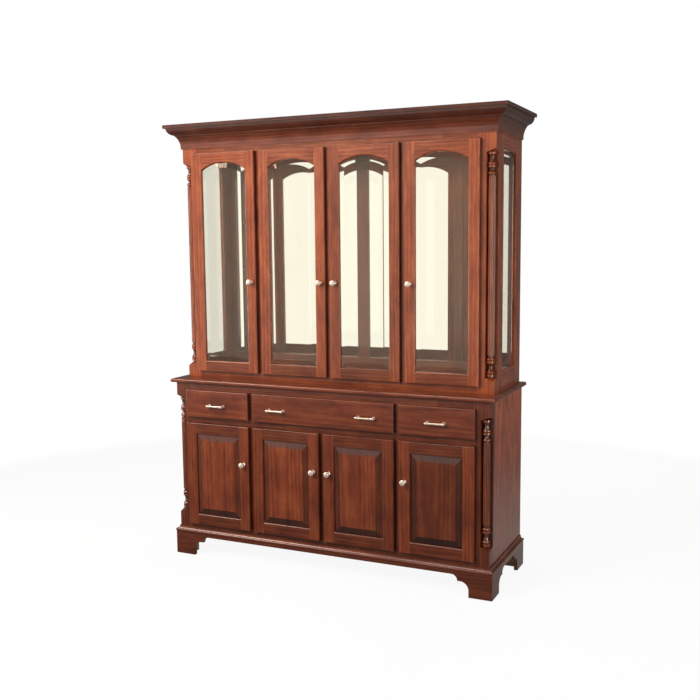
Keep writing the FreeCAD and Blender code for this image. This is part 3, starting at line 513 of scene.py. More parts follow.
@dataclass(frozen=True)
class FaceFrame(Lay):
    """Stiles with rails at several heights."""

    rails: tuple[tuple[float, float], ...]
    pitch: float

    def boards(self, graph: Graph) -> tuple[Value, "Value | float"]:
        """Find the stile or rail that a place lies on.

        Args:
            graph: The material's graph.

        Returns:
            Place on the board, and the number of the board.
        """
        x, z = graph.axis("x"), graph.axis("z")
        rail: Value | float = 0.0
        number = (x / self.pitch + 0.5).whole()
        for order, (low, high) in enumerate(self.rails):
            here = (z > low) * (z < high)
            rail = here + rail
            number = number + here * (FACE_RAIL + order)
        return graph.choose(rail, Run.UPRIGHT_FRONT.turn(graph), Run.SIDEWAYS_FRONT.turn(graph)), number


@dataclass(frozen=True)
class SideFrame(Lay):
    """Stiles and rails of the hutch's two sides."""

    front: float
    back: float
    outside: float
    inner_shade: float = 0.40
    skin: float = 0.001
    mid_height: float = 1.4

    def tone(self, graph: Graph) -> "Value | float":
        """One on the outer face; darker on the edges and the inner face: painted shade inside the hutch."""
        outer = abs(graph.axis("x")) > self.outside - self.skin
        return self.inner_shade + outer * (1.0 - self.inner_shade)

    def boards(self, graph: Graph) -> tuple[Value, "Value | float"]:
        """Find the stile or rail that a place lies on.

        Args:
            graph: The material's graph.

        Returns:
            Place on the board, and the number of the board.
        """
        x, y, z = (graph.axis(letter) for letter in "xyz")
        rail = (y > self.front) * (y < self.back)
        rail_number = SIDE_RAIL + (z > self.mid_height)
        number = (x > 0.0) * RIGHT_SIDE + rail * rail_number + (1.0 - rail) * (y > self.front)
        return graph.choose(rail, Run.UPRIGHT_SIDE.turn(graph), Run.INWARD_SIDE.turn(graph)), number


@dataclass(frozen=True)
class Mitred(Lay):
    """A run across the front with a return on each side, joined on mitres."""

    half: float
    front: float
    lighting_by_height: Fade | None = None

    def tone(self, graph: Graph) -> "Value | float":
        """How light the wood is drawn at its height: painted light and shade."""
        return self.lighting_by_height.tone(graph) if self.lighting_by_height else 1.0

    def boards(self, graph: Graph) -> tuple[Value, "Value | float"]:
        """Find the run or return that a place lies on.

        Args:
            graph: The material's graph.

        Returns:
            Place on the board, and the number of the board.
        """
        x, y = graph.axis("x"), graph.axis("y")
        side = (abs(x) - self.half) > (self.front - y)
        number = side * (1.0 + (x > 0.0))
        return graph.choose(side, Run.SIDEWAYS_FRONT.turn(graph), Run.INWARD_SIDE.turn(graph)), number


@dataclass(frozen=True)
class DovetailedBox(Lay):
    """A drawer box whose sides join its front and back with dovetails."""

    middle: float
    inner_half: float
    front: float
    back: float
    wall: float
    pitch: float = 0.026
    pin_half: float = 0.0045
    pin_slope: float = 0.28

    def boards(self, graph: Graph) -> tuple[Value, "Value | float"]:
        """Find the side, end or bottom that a place lies on.

        Args:
            graph: The material's graph.

        Returns:
            Place on the board, and the number of the board.
        """
        x, y, z = (graph.axis(letter) for letter in "xyz")
        edge = (y - self.front).least(self.back - y)
        spread = self.pin_half + edge * self.pin_slope
        pin = (abs((z / self.pitch).part() - 0.5) * self.pitch < spread) * (edge < self.wall)
        side = (abs(x - self.middle) > self.inner_half) * (1.0 - pin)
        behind = y > self.front + self.wall
        number = side * (1.0 + (x > self.middle)) + (1.0 - side) * behind * BOX_BACK
        return graph.choose(side, Run.SIDEWAYS_FRONT.turn(graph), Run.INWARD_SIDE.turn(graph)), number


class Sawn(Enum):
    """How a board was cut from the log: how far its face is from the heart, and how far it leans."""

    PLAIN = (0.035, 0.020)
    RIFT = (0.30, 0.004)


# Finishes

# How fast a seed sets the heart of a log, the tone of a board and the middle of a panel apart
HEART_SPREAD = 7.0
BOARD_SPREAD = 5.3
PANEL_SPREAD = 3.0


@dataclass(frozen=True)
class GrainLayer:
    """One layer of a wood's figure: noise drawn out along the grain, in cells per metre."""

    along: float
    across: float
    detail: float = 2.0
    moved: bool = True

    def noise(self, graph: Graph, place: tuple[Value, Value, Value], shift: "Value | float") -> Value:
        """Work the layer out on one board.

        Args:
            graph: The material's graph.
            place: Place along, across and through the board.
            shift: Sets this board apart from the others.

        Returns:
            The noise, from zero to one.
        """
        along, across, through = place
        side = across * self.across
        if self.moved:
            side = side + shift
        return graph.noise(along * self.along + shift, side, through * self.across, self.detail)


DRIFT = GrainLayer(along=1.3, across=6.0)
FIBRE = GrainLayer(along=10.0, across=250.0, detail=3.0)
BAND = GrainLayer(along=0.9, across=30.0)
MOTTLE = GrainLayer(along=7.0, across=16.0, detail=3.0, moved=False)
PORE = GrainLayer(along=34.0, across=950.0, detail=1.0, moved=False)


@dataclass(frozen=True)
class WoodFinish:
    """A wood with its stained colours and its lacquer."""

    deep: Colour
    middle: Colour
    pale: Colour
    ring_gap: float
    rings: float
    gloss: float
    coat: float
    coat_roughness: float
    pores: float
    fibres: float
    mottling: float
    figure: float
    bands: float = 0.16
    coat_bending: float = 1.5
    gleam: Colour = (1.0, 1.0, 1.0)
    stops: tuple[float, float, float] = (0.08, 0.50, 0.95)
    pore_edge: tuple[float, float] = (0.60, 0.74)
    board_step: float = 1.37
    board_play: float = 0.07
    patches: float = 0.16
    wander: float = 0.035
    closing: float = 0.4
    heart_play: float = 0.01
    ring_drift: float = 5.0
    gloss_play: float = 0.10
    fibre_height: float = 0.6
    relief: float = 0.10
    relief_depth: float = 0.0005

    def dress(self, name: str, lay: Lay, sawn: Sawn, seed: float, stain_and_shade: float = 1.0) -> bpy.types.Material:
        """Make the wood of one node.

        Args:
            name: Name of the material.
            lay: How the node's boards lie.
            sawn: How the boards were cut.
            seed: Sets this wood apart from the others.
            stain_and_shade: How light the node is drawn beside the other nodes: partly its staining, partly
                painted light and shade, falling off toward the base and lying inside the cases.

        Returns:
            The material.
        """
        graph = Graph(name)
        spot, number = lay.boards(graph)
        place = graph.split(spot)
        shift = number * self.board_step + seed
        ring = self._ring(graph, place, shift, sawn, seed)
        layers = (FIBRE, BAND, MOTTLE, PORE)
        fibre, band, mottle, pore = (layer.noise(graph, place, shift) for layer in layers)
        tone = ring * self.rings + fibre * self.fibres + band * self.bands + mottle * self.mottling
        tone = (tone - (self.rings + self.fibres + self.bands + self.mottling) * 0.5) * self.figure + 0.5
        stops = tuple(zip(self.stops, (self.deep, self.middle, self.pale)))
        colour = graph.make("ShaderNodeValToRGB", {"stops": stops}, {0: tone})
        pore = pore.ease(*self.pore_edge)
        colour = graph.blend(pore * self.pores, colour, self.deep)
        turn = shift * BOARD_SPREAD
        board = turn.sine() if isinstance(turn, Value) else math.sin(turn)
        level = mottle * self.patches + (1.0 - self.patches * 0.5) + board * self.board_play
        # The node's factor and the lay's tone paint light and shade as well as real staining: light falling off
        # toward the base, and shade in hollows and inside the cases.
        level = level * stain_and_shade * lay.tone(graph)
        return graph.surface({
            "Base Color": graph.blend(1.0, colour, graph.grey(level), "MULTIPLY"),
            "Roughness": fibre * self.gloss_play + self.gloss,
            "Coat Weight": lay.polish(graph) * self.coat,
            "Coat Roughness": self.coat_roughness,
            "Coat IOR": self.coat_bending,
            "Specular Tint": (*self.gleam, 1.0),
            "Normal": graph.bump(fibre * self.fibre_height - pore, self.relief, self.relief_depth),
        })

    def _ring(self, graph: Graph, place: tuple[Value, Value, Value], shift: "Value | float", sawn: Sawn,
              seed: float) -> Value:
        """Cut the board through the log's year rings, whose heart wanders along it.

        Args:
            graph: The material's graph.
            place: Place along, across and through the board.
            shift: Sets this board apart from the others.
            sawn: How the board was cut.
            seed: Sets this wood apart from the others.

        Returns:
            Zero in the early wood of a ring, one in its late wood.
        """
        along, across, through = place
        drift = DRIFT.noise(graph, place, shift)
        depth, lean = sawn.value
        reach = across + (drift - 0.5) * self.wander
        start = depth + self.heart_play * math.sin(seed * HEART_SPREAD)
        rise = through * self.closing + along * lean + start
        heart = (reach * reach + rise * rise).root()
        return (heart * (math.tau / self.ring_gap) + drift * self.ring_drift + shift).sine() * 0.5 + 0.5


CHERRY = WoodFinish(deep=(0.095, 0.015, 0.005), middle=(0.270, 0.050, 0.016), pale=(0.43, 0.112, 0.035),
                    ring_gap=0.017, rings=0.13, gloss=0.16, coat=0.30, coat_roughness=0.07, pores=0.60,
                    fibres=0.44, mottling=0.62, figure=1.45)
AMBERED = replace(CHERRY, gleam=(1.0, 0.90, 0.72))
POLISHED = replace(AMBERED, gloss=0.10, coat=1.0, coat_roughness=0.06, coat_bending=1.75)
INNER = WoodFinish(deep=(0.33, 0.175, 0.083), middle=(0.50, 0.305, 0.160), pale=(0.62, 0.415, 0.240),
                   ring_gap=0.021, rings=0.22, gloss=0.46, coat=0.08, coat_roughness=0.30, pores=0.35,
                   fibres=0.26, mottling=0.40, figure=1.1)


@dataclass(frozen=True)
class GlassFinish:
    """Clear float glass, polished at the bevels."""

    tint: Colour = (0.985, 0.973, 0.91)
    bending: float = 1.5
    gleam: Colour = (1.0, 0.90, 0.74)
    waves: Point = (9.0, 9.0, 5.0)
    ripple: float = 0.010
    ripple_depth: float = 0.002

    def dress(self, name: str, seed: float) -> bpy.types.Material:
        """Make the glass of one node.

        Args:
            name: Name of the material.
            seed: Sets this pane apart from the others.

        Returns:
            The material.
        """
        graph = Graph(name)
        wave = graph.clouds(self.waves, seed, detail=1.0)
        return graph.surface({
            "Base Color": (*self.tint, 1.0),
            "Roughness": 0.0,
            "IOR": self.bending,
            "Specular Tint": (*self.gleam, 1.0),
            "Transmission Weight": 1.0,
            "Normal": graph.bump(wave, self.ripple, self.ripple_depth),
        })


@dataclass(frozen=True)
class MirrorFinish:
    """Silvered glass with the faintest cloudiness."""

    clear: Colour = (0.97, 0.955, 0.92)
    cloudy: Colour = (0.94, 0.925, 0.885)
    clouds: Point = (3.0, 0.0, 3.0)
    cloud_edge: tuple[float, float] = (0.45, 0.80)
    haze: float = 0.012

    def dress(self, name: str) -> bpy.types.Material:
        """Make the mirror.

        Args:
            name: Name of the material.

        Returns:
            The material.
        """
        graph = Graph(name)
        cloud = graph.clouds(self.clouds, detail=4.0)
        return graph.surface({
            "Base Color": graph.blend(cloud.ease(*self.cloud_edge), self.clear, self.cloudy),
            "Metallic": 1.0,
            "Roughness": cloud * self.haze,
        })


@dataclass(frozen=True)
class MetalFinish:
    """A plated or bare metal with fine rubbing marks."""

    bright: Colour
    dull: Colour
    roughness: float
    grain: float
    metal: float = 1.0
    rubbing: Point = (260.0, 900.0, 900.0)
    clouds: Point = (60.0, 60.0, 60.0)
    cloud_edge: tuple[float, float] = (0.35, 0.70)
    cloud_roughness: float = 0.06
    relief: float = 0.05
    relief_depth: float = 0.0002

    def dress(self, name: str, seed: float = 0.0) -> bpy.types.Material:
        """Make the metal of one piece.

        Args:
            name: Name of the material.
            seed: Sets this piece apart from the others.

        Returns:
            The material.
        """
        graph = Graph(name)
        rub = graph.clouds(self.rubbing, seed)
        cloud = graph.clouds(self.clouds, seed, detail=3.0)
        return graph.surface({
            "Base Color": graph.blend(cloud.ease(*self.cloud_edge), self.bright, self.dull),
            "Metallic": self.metal,
            "Roughness": rub * self.grain + cloud * self.cloud_roughness + self.roughness,
            "Normal": graph.bump(rub, self.relief, self.relief_depth),
        })


NICKEL = MetalFinish(bright=(0.84, 0.65, 0.53), dull=(0.72, 0.55, 0.44), roughness=0.14, grain=0.10,
                     metal=0.55)
STEEL = MetalFinish(bright=(0.66, 0.65, 0.63), dull=(0.50, 0.49, 0.47), roughness=0.26, grain=0.14)
BROWNED = MetalFinish(bright=(0.17, 0.105, 0.075), dull=(0.10, 0.060, 0.042), roughness=0.36, grain=0.14)
BLACKED = MetalFinish(bright=(0.16, 0.155, 0.15), dull=(0.09, 0.088, 0.085), roughness=0.34, grain=0.12)


@dataclass(frozen=True)
class BumperFinish:
    """Soft clear plastic, gone slightly milky."""

    milk: Colour = (0.82, 0.82, 0.78)
    grey: Colour = (0.70, 0.70, 0.66)
    clouds: Point = (300.0, 300.0, 300.0)
    roughness: float = 0.2
    roughness_play: float = 0.2
    clearness: float = 0.6
    bending: float = 1.45

    def dress(self, name: str) -> bpy.types.Material:
        """Make the plastic of the door bumpers.

        Args:
            name: Name of the material.

        Returns:
            The material.
        """
        graph = Graph(name)
        cloud = graph.clouds(self.clouds)
        return graph.surface({
            "Base Color": graph.blend(cloud, self.milk, self.grey),
            "Roughness": cloud * self.roughness_play + self.roughness,
            "Transmission Weight": self.clearness,
            "IOR": self.bending,
        })


# Making pieces

MERGE_DISTANCE = 1e-6
SHARP_ANGLE = math.radians(38.0)
FACING_FRONT = Matrix.Rotation(math.radians(90.0), 4, "X")
FACING_BACK = Matrix.Rotation(math.radians(-90.0), 4, "X")
FACING_RIGHT = Matrix.Rotation(math.radians(90.0), 4, "Y")


def cover(node: str, material: bpy.types.Material) -> None:
    """Give a CAD node its finish.

    Args:
        node: The node's name.
        material: The finish.
    """
    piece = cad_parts[node]
    if not piece.material_slots:
        piece.data.materials.append(material)
    for slot in piece.material_slots:
        slot.material = material
    log.info("%s dressed", node)


def let_light_through(node: str) -> None:
    """Let the lamps shine through a pane."""
    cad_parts[node].visible_shadow = False


def turned(profile: Profile, steps: int) -> bmesh.types.BMesh:
    """Turn a profile about the upright axis.

    Args:
        profile: Radius and height of its points, from the axis round to the axis, in metres.
        steps: How many faces go round.

    Returns:
        The turned form, closed.
    """
    form = bmesh.new()
    points = [form.verts.new((radius, 0.0, height)) for radius, height in profile]
    lines = [form.edges.new(pair) for pair in zip(points, points[1:])]
    bmesh.ops.spin(form, geom=[*points, *lines], cent=(0.0, 0.0, 0.0), axis=(0.0, 0.0, 1.0),
                   angle=math.tau, steps=steps, use_merge=True)
    bmesh.ops.remove_doubles(form, verts=form.verts, dist=MERGE_DISTANCE)
    bmesh.ops.recalc_face_normals(form, faces=form.faces)
    return form


def add_turned(form: bmesh.types.BMesh, profile: Profile, steps: int, spot: Point, facing: Matrix) -> None:
    """Add a turned form to another, turned and set in its place.

    Args:
        form: What it is added to.
        profile: Radius and height of its points.
        steps: How many faces go round.
        spot: Where its foot goes.
        facing: Which way its axis points.
    """
    extra = turned(profile, steps)
    bmesh.ops.transform(extra, matrix=Matrix.Translation(spot) @ facing, verts=extra.verts)
    holder = bpy.data.meshes.new("holder")
    extra.to_mesh(holder)
    extra.free()
    form.from_mesh(holder)
    bpy.data.meshes.remove(holder)


def finish_piece(name: str, form: bmesh.types.BMesh, material: bpy.types.Material, body: str) -> bpy.types.Object:
    """Make a piece of a form and let it ride on its body.

    Args:
        name: The piece's name.
        form: Its mesh, in the part's frame; it is used up.
        material: Its finish.
        body: The CAD body that carries it.

    Returns:
        The piece.
    """
    mesh = bpy.data.meshes.new(name)
    form.to_mesh(mesh)
    form.free()
    mesh.materials.append(material)
    for face in mesh.polygons:
        face.use_smooth = True
    mesh.set_sharp_from_angle(angle=SHARP_ANGLE)
    piece = bpy.data.objects.new(name, mesh)
    bpy.context.scene.collection.objects.link(piece)
    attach(piece, body)
    log.info("%s made", name)
    return piece


# Fittings

KNOB_STEPS = 48
KNOB_PROFILE = ((0.0, 0.0), (0.0094, 0.0), (0.0097, 0.0006), (0.0097, 0.0016), (0.0090, 0.0022),
                (0.0086, 0.0030), (0.0066, 0.0044), (0.0056, 0.0070), (0.0053, 0.0102), (0.0056, 0.0134),
                (0.0068, 0.0162), (0.0096, 0.0188), (0.0124, 0.0208), (0.0136, 0.0227), (0.0140, 0.0246),
                (0.0137, 0.0265), (0.0126, 0.0284), (0.0102, 0.0301), (0.0070, 0.0312), (0.0035, 0.0318),
                (0.0, 0.0320))
SCREW_STEPS = 18
SCREW_PROFILE = ((0.0, 0.0), (0.0042, 0.0), (0.0042, 0.0004), (0.0037, 0.0013), (0.0028, 0.0018),
                 (0.0017, 0.0020), (0.0015, 0.0009), (0.0, 0.0008))
FLUSH_SCREW_STEPS = 14
FLUSH_SCREW_PROFILE = ((0.0, 0.0), (0.0042, 0.0), (0.0042, 0.0003), (0.0038, 0.0007), (0.0017, 0.0008),
                       (0.0015, 0.0002), (0.0, 0.0001))
BUMPER_STEPS = 16
BUMPER_PROFILE = ((0.0, 0.0), (0.0040, 0.0), (0.0040, 0.0003), (0.0034, 0.0006), (0.0022, 0.0008),
                  (0.0, 0.0009))
PULL_STEPS = 32
PULL_HALF_PROFILE = ((0.0, 0.0460), (0.0032, 0.0457), (0.0049, 0.0446), (0.0057, 0.0429), (0.0060, 0.0406),
                     (0.0059, 0.0376), (0.0054, 0.0354), (0.0050, 0.0332), (0.0048, 0.0290), (0.0047, 0.0200),
                     (0.0046, 0.0100), (0.0046, 0.0))
PULL_POST_PROFILE = ((0.0, 0.0), (0.0071, 0.0), (0.0075, 0.0007), (0.0075, 0.0018), (0.0068, 0.0030),
                     (0.0058, 0.0042), (0.0050, 0.0062), (0.0044, 0.0095), (0.0042, 0.0140), (0.0043, 0.0190),
                     (0.0046, 0.0218), (0.0, 0.0224))


@dataclass
class Knob:
    """A turned nickel knob and the screw that holds it from behind."""

    door: str
    place: Point
    back: float

    def build(self) -> None:
        """Turn the knob in place of its CAD node, and its screw on the back of the door."""
        x, _, z = self.place
        form = bmesh.new()
        add_turned(form, KNOB_PROFILE, KNOB_STEPS, self.place, FACING_FRONT)
        nickel = NICKEL.dress(f"{self.door}_nickel", x)
        piece = finish_piece(f"{self.door}_turned_knob", form, nickel, self.door)
        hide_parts(f"{self.door}_knob")
        screw = bmesh.new()
        add_turned(screw, SCREW_PROFILE, SCREW_STEPS, (x, self.back, z), FACING_BACK)
        steel = STEEL.dress(f"{self.door}_screw_steel")
        finish_piece(f"{self.door}_knob_screw", screw, steel, self.door)


@dataclass
class Pull:
    """A turned nickel bar on two footed posts."""

    places: tuple[Point, ...]
    drawer: str
    inside: float
    spacing: float = 0.076
    reach: float = 0.028
    thickness: float = 0.012

    def build(self) -> None:
        """Turn the bars and posts in place of the CAD node, and their screws inside the drawer."""
        profile = PULL_HALF_PROFILE + tuple((radius, -along) for radius, along in PULL_HALF_PROFILE[-2::-1])
        form = bmesh.new()
        screws = bmesh.new()
        for x, y, z in self.places:
            bar = (x, y - self.reach + self.thickness / 2.0, z)
            add_turned(form, profile, PULL_STEPS, bar, FACING_RIGHT)
            for foot in (x - self.spacing / 2.0, x + self.spacing / 2.0):
                add_turned(form, PULL_POST_PROFILE, PULL_STEPS, (foot, y, z), FACING_FRONT)
                add_turned(screws, SCREW_PROFILE, SCREW_STEPS, (foot, self.inside, z), FACING_BACK)
        nickel = NICKEL.dress(f"{self.drawer}_nickel", self.places[0][0])
        piece = finish_piece(f"{self.drawer}_turned_pull", form, nickel, self.drawer)
        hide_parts(f"{self.drawer}_pull")
        steel = STEEL.dress(f"{self.drawer}_screw_steel")
        finish_piece(f"{self.drawer}_pull_screws", screws, steel, self.drawer)


@dataclass
class ScrewRow:
    """Screws along the edges of a back panel."""

    node: str
    inset: float = 0.022
    pitch: float = 0.19

    def build(self) -> None:
        """Set the screws round the panel, on its back face."""
        low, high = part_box(self.node)
        left, right = low[0] + self.inset, high[0] - self.inset
        bottom, top = low[2] + self.inset, high[2] - self.inset
        across = max(2, round((right - left) / self.pitch))
        up = max(2, round((top - bottom) / self.pitch))
        columns = [left + (right - left) * n / across for n in range(across + 1)]
        rows = [bottom + (top - bottom) * n / up for n in range(up + 1)]
        spots = {(x, z) for x in columns for z in (bottom, top)}
        spots |= {(x, z) for x in (left, right) for z in rows}
        form = bmesh.new()
        for x, z in sorted(spots):
            add_turned(form, FLUSH_SCREW_PROFILE, FLUSH_SCREW_STEPS, (x, high[1], z), FACING_BACK)
        black = BLACKED.dress(f"{self.node}_screw_black")
        finish_piece(f"{self.node}_screws", form, black, "cabinet")


# Sub-assemblies

@dataclass
class Mouldings:
    """Crown, base moulding and plinth, mitred at the front corners, and the feet's blocks."""

    hutch_half: float = 0.796
    hutch_front: float = -0.1365
    base_half: float = 0.8085
    base_front: float = -0.2295
    crown_lighting_by_height: Fade = Fade(low=2.02, high=2.11, share=0.40)

    def dress(self) -> None:
        """Give each run its wood."""
        crown = Mitred(self.hutch_half, self.hutch_front, self.crown_lighting_by_height)
        base = Mitred(self.base_half, self.base_front)
        blocks = PairOfBoards(Run.UPRIGHT_FRONT)
        # Tones below one paint shade: the crown darkens toward its top, and the base moulding and plinth are
        # drawn darker, as the light falls off.
        cover("crown", CHERRY.dress("crown_cherry", crown, Sawn.RIFT, seed=0.7, stain_and_shade=0.54))
        cover("base_moulding", CHERRY.dress("base_moulding_cherry", base, Sawn.RIFT, seed=1.9, stain_and_shade=0.50))
        cover("plinth", CHERRY.dress("plinth_cherry", base, Sawn.PLAIN, seed=2.3, stain_and_shade=0.36))
        cover("foot_blocks", INNER.dress("foot_block_wood", blocks, Sawn.RIFT, seed=3.1))


@dataclass
class CornerPosts:
    """Corner posts with the turned columns in their notches."""

    column_lighting_by_height: Fade = Fade(low=0.8, high=0.95, share=1.25)
    column_shine: Fade = Fade(low=0.8, high=0.95, share=0.25)

    def dress(self) -> None:
        """Give posts and columns their wood."""
        posts = PairOfBoards(Run.UPRIGHT_FRONT)
        columns = ReededColumns(Run.UPRIGHT_FRONT, self.column_lighting_by_height, self.column_shine)
        # The hutch posts are drawn lighter, the base posts darker, and the columns lighter above the counter:
        # painted light falling off toward the base.
        cover("hutch_posts", AMBERED.dress("hutch_post_cherry", posts, Sawn.RIFT, seed=4.3, stain_and_shade=1.10))
        cover("base_posts", CHERRY.dress("base_post_cherry", posts, Sawn.RIFT, seed=5.9, stain_and_shade=0.42))
        cover("corner_columns", POLISHED.dress("column_cherry", columns, Sawn.RIFT, seed=6.7, stain_and_shade=0.82))


@dataclass
class HutchCase:
    """Frames, panes, deck, top and mirrored back of the upper case."""

    rail_low: float = 0.936
    rail_high: float = 1.9845
    stile_pitch: float = 0.371
    glass_front: float = -0.0185
    glass_back: float = 0.1835
    strip_width: float = 0.04
    strip_pitch: float = 0.7
    side_glass: GlassFinish = GlassFinish(bending=1.3)

    def dress(self) -> None:
        """Give each node its finish."""
        front = FaceFrame(((0.0, self.rail_low), (self.rail_high, OVERHEAD)), self.stile_pitch)
        sides = SideFrame(self.glass_front, self.glass_back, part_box("hutch_side_frames")[1][0])
        low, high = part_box("back_strips")
        rails = ((0.0, low[2] + self.strip_width), (high[2] - self.strip_width, OVERHEAD))
        strips = FaceFrame(rails, self.strip_pitch)
        flat = OneBoard(Run.SIDEWAYS_TOP)
        # The face frame, deck and back strips are drawn darker: painted shade between the doors and inside the
        # hutch.
        cover("hutch_face_frame", AMBERED.dress("hutch_face_cherry", front, Sawn.RIFT, seed=7.1, stain_and_shade=0.68))
        cover("hutch_side_frames", AMBERED.dress("hutch_side_cherry", sides, Sawn.RIFT, seed=8.3))
        cover("hutch_deck", CHERRY.dress("hutch_deck_cherry", flat, Sawn.PLAIN, seed=9.7, stain_and_shade=0.50))
        cover("back_strips", CHERRY.dress("back_strip_cherry", strips, Sawn.RIFT, seed=10.1, stain_and_shade=0.34))
        cover("hutch_top", INNER.dress("hutch_top_wood", flat, Sawn.PLAIN, seed=11.3))
        cover("hutch_back", INNER.dress("hutch_back_wood", Veneer(), Sawn.PLAIN, seed=12.9))
        cover("hutch_side_panes", self.side_glass.dress("side_pane_glass", seed=1.0))
        let_light_through("hutch_side_panes")
        cover("mirrors", MirrorFinish().dress("silvered_mirror"))
        ScrewRow("hutch_back").build()


@dataclass
class BaseCase:
    """Countertop, frame, sides and inside of the lower case."""

    stile_pitch: float = 0.37725
    rails: tuple[tuple[float, float], ...] = ((0.0, 0.173), (0.667, 0.719), (0.832, 1.0))
    side_lighting_by_height: Fade = Fade(low=0.25, high=0.80, share=1.80)

    def dress(self) -> None:
        """Give each node its finish."""
        front = FaceFrame(self.rails, self.stile_pitch)
        sides = PairOfBoards(Run.UPRIGHT_SIDE, self.side_lighting_by_height)
        partitions = PairOfBoards(Run.UPRIGHT_SIDE)
        flat = OneBoard(Run.SIDEWAYS_TOP)
        inward = OneBoard(Run.INWARD_SIDE)
        # The countertop, face frame and sides are drawn darker than the hutch, the face frame darkest between
        # doors and drawers, and the sides lighter upward: painted light and painted shade.
        cover("countertop", CHERRY.dress("countertop_cherry", flat, Sawn.PLAIN, seed=13.7, stain_and_shade=0.60))
        cover("base_face_frame", CHERRY.dress("base_face_cherry", front, Sawn.RIFT, seed=14.3, stain_and_shade=0.42))
        cover("base_sides", CHERRY.dress("base_side_cherry", sides, Sawn.PLAIN, seed=15.1, stain_and_shade=0.80))
        for node, material, lay, sawn, seed in (
            ("base_floor", "base_floor_wood", flat, Sawn.PLAIN, 16.9),
            ("base_partitions", "partition_wood", partitions, Sawn.PLAIN, 17.3),
            ("drawer_decks", "drawer_deck_wood", flat, Sawn.PLAIN, 18.1),
            ("drawer_guides", "drawer_guide_wood", inward, Sawn.RIFT, 19.7),
            ("cupboard_shelves", "shelf_wood", flat, Sawn.PLAIN, 20.3),
            ("shelf_cleats", "cleat_wood", inward, Sawn.RIFT, 21.1),
            ("base_back", "base_back_wood", Veneer(), Sawn.PLAIN, 22.7),
        ):
            cover(node, INNER.dress(material, lay, sawn, seed))
        cover("pivot_brackets", BROWNED.dress("pivot_steel"))
        ScrewRow("base_back").build()


class Filling(Enum):
    """What fills a door's frame, as its CAD node's name ends."""

    PANE = "pane"
    PANEL = "panel"


@dataclass
class Door:
    """A door on two pivots: frame, filling, knob and bumpers."""

    body: str
    filling: Filling
    stile: float
    seed: float
    stain_and_shade: float
    rail_shades: tuple[float, float]
    panel_stain_and_shade: float = 1.0
    panel_step: float = 0.5
    heart_play: float = 0.04
    bumper_inset: float = 0.03
    bumper_margin: float = 0.0055

    def dress(self) -> None:
        """Give frame and filling their finish, and add the knob and the bumpers."""
        low, high = (Vector(corner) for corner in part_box(f"{self.body}_frame"))
        middle = (low + high) / 2.0
        lay = DoorFrame(middle.x, (high.x - low.x) / 2.0 - self.stile, middle.z, self.rail_shades)
        wood = AMBERED if self.filling is Filling.PANE else CHERRY
        cover(f"{self.body}_frame", wood.dress(f"{self.body}_cherry", lay, Sawn.RIFT, self.seed, self.stain_and_shade))
        node = f"{self.body}_{self.filling.value}"
        if self.filling is Filling.PANE:
            cover(node, GlassFinish().dress(f"{self.body}_glass", self.seed))
            let_light_through(node)
        else:
            cover(node, self._panel_wood(low, high))
        knob_low, knob_high = (Vector(corner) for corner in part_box(f"{self.body}_knob"))
        centre = (knob_low + knob_high) / 2.0
        Knob(self.body, (centre.x, knob_high.y, centre.z), high.y).build()
        inner = high.x - self.bumper_margin if centre.x > middle.x else low.x + self.bumper_margin
        form = bmesh.new()
        for z in (low.z + self.bumper_inset, high.z - self.bumper_inset):
            add_turned(form, BUMPER_PROFILE, BUMPER_STEPS, (inner, high.y, z), FACING_BACK)
        plastic = BumperFinish().dress(f"{self.body}_bumper")
        finish_piece(f"{self.body}_bumpers", form, plastic, self.body)

    def _panel_wood(self, low: Vector, high: Vector) -> bpy.types.Material:
        """Make the wood of the raised panel.

        Args:
            low: Lowest corner of the frame.
            high: Highest corner of the frame.

        Returns:
            The material.
        """
        inset = Vector((self.stile, self.stile))
        heart = (low.x + high.x) / 2.0 + self.heart_play * math.sin(self.seed * PANEL_SPREAD)
        panel = RaisedPanel(Run.UPRIGHT_FRONT, heart, tuple(low.xz + inset), tuple(high.xz - inset))
        name = f"{self.body}_panel_cherry"
        return CHERRY.dress(name, panel, Sawn.PLAIN, self.seed + self.panel_step, self.panel_stain_and_shade)


@dataclass
class DoorColumn:
    """A hutch door and the base door below it, with how light each is drawn: partly staining, partly painted
    light falling off toward the base and to the right.
    """

    number: int
    hutch_frame: float
    base_frame: float
    base_panel: float
    hutch_stile: float = 0.050
    base_stile: float = 0.054
    hutch_rails: tuple[float, float] = (0.60, 0.93)
    base_rails: tuple[float, float] = (0.72, 0.72)
    hutch_seed: float = 30.0
    hutch_step: float = 1.7
    base_seed: float = 40.0
    base_step: float = 1.9

    def dress(self) -> None:
        """Dress both doors."""
        hutch_seed = self.hutch_seed + self.hutch_step * self.number
        base_seed = self.base_seed + self.base_step * self.number
        Door(f"hutch_door_{self.number}", Filling.PANE, self.hutch_stile, hutch_seed, self.hutch_frame,
             self.hutch_rails).dress()
        Door(f"base_door_{self.number}", Filling.PANEL, self.base_stile, base_seed, self.base_frame,
             self.base_rails, self.base_panel).dress()


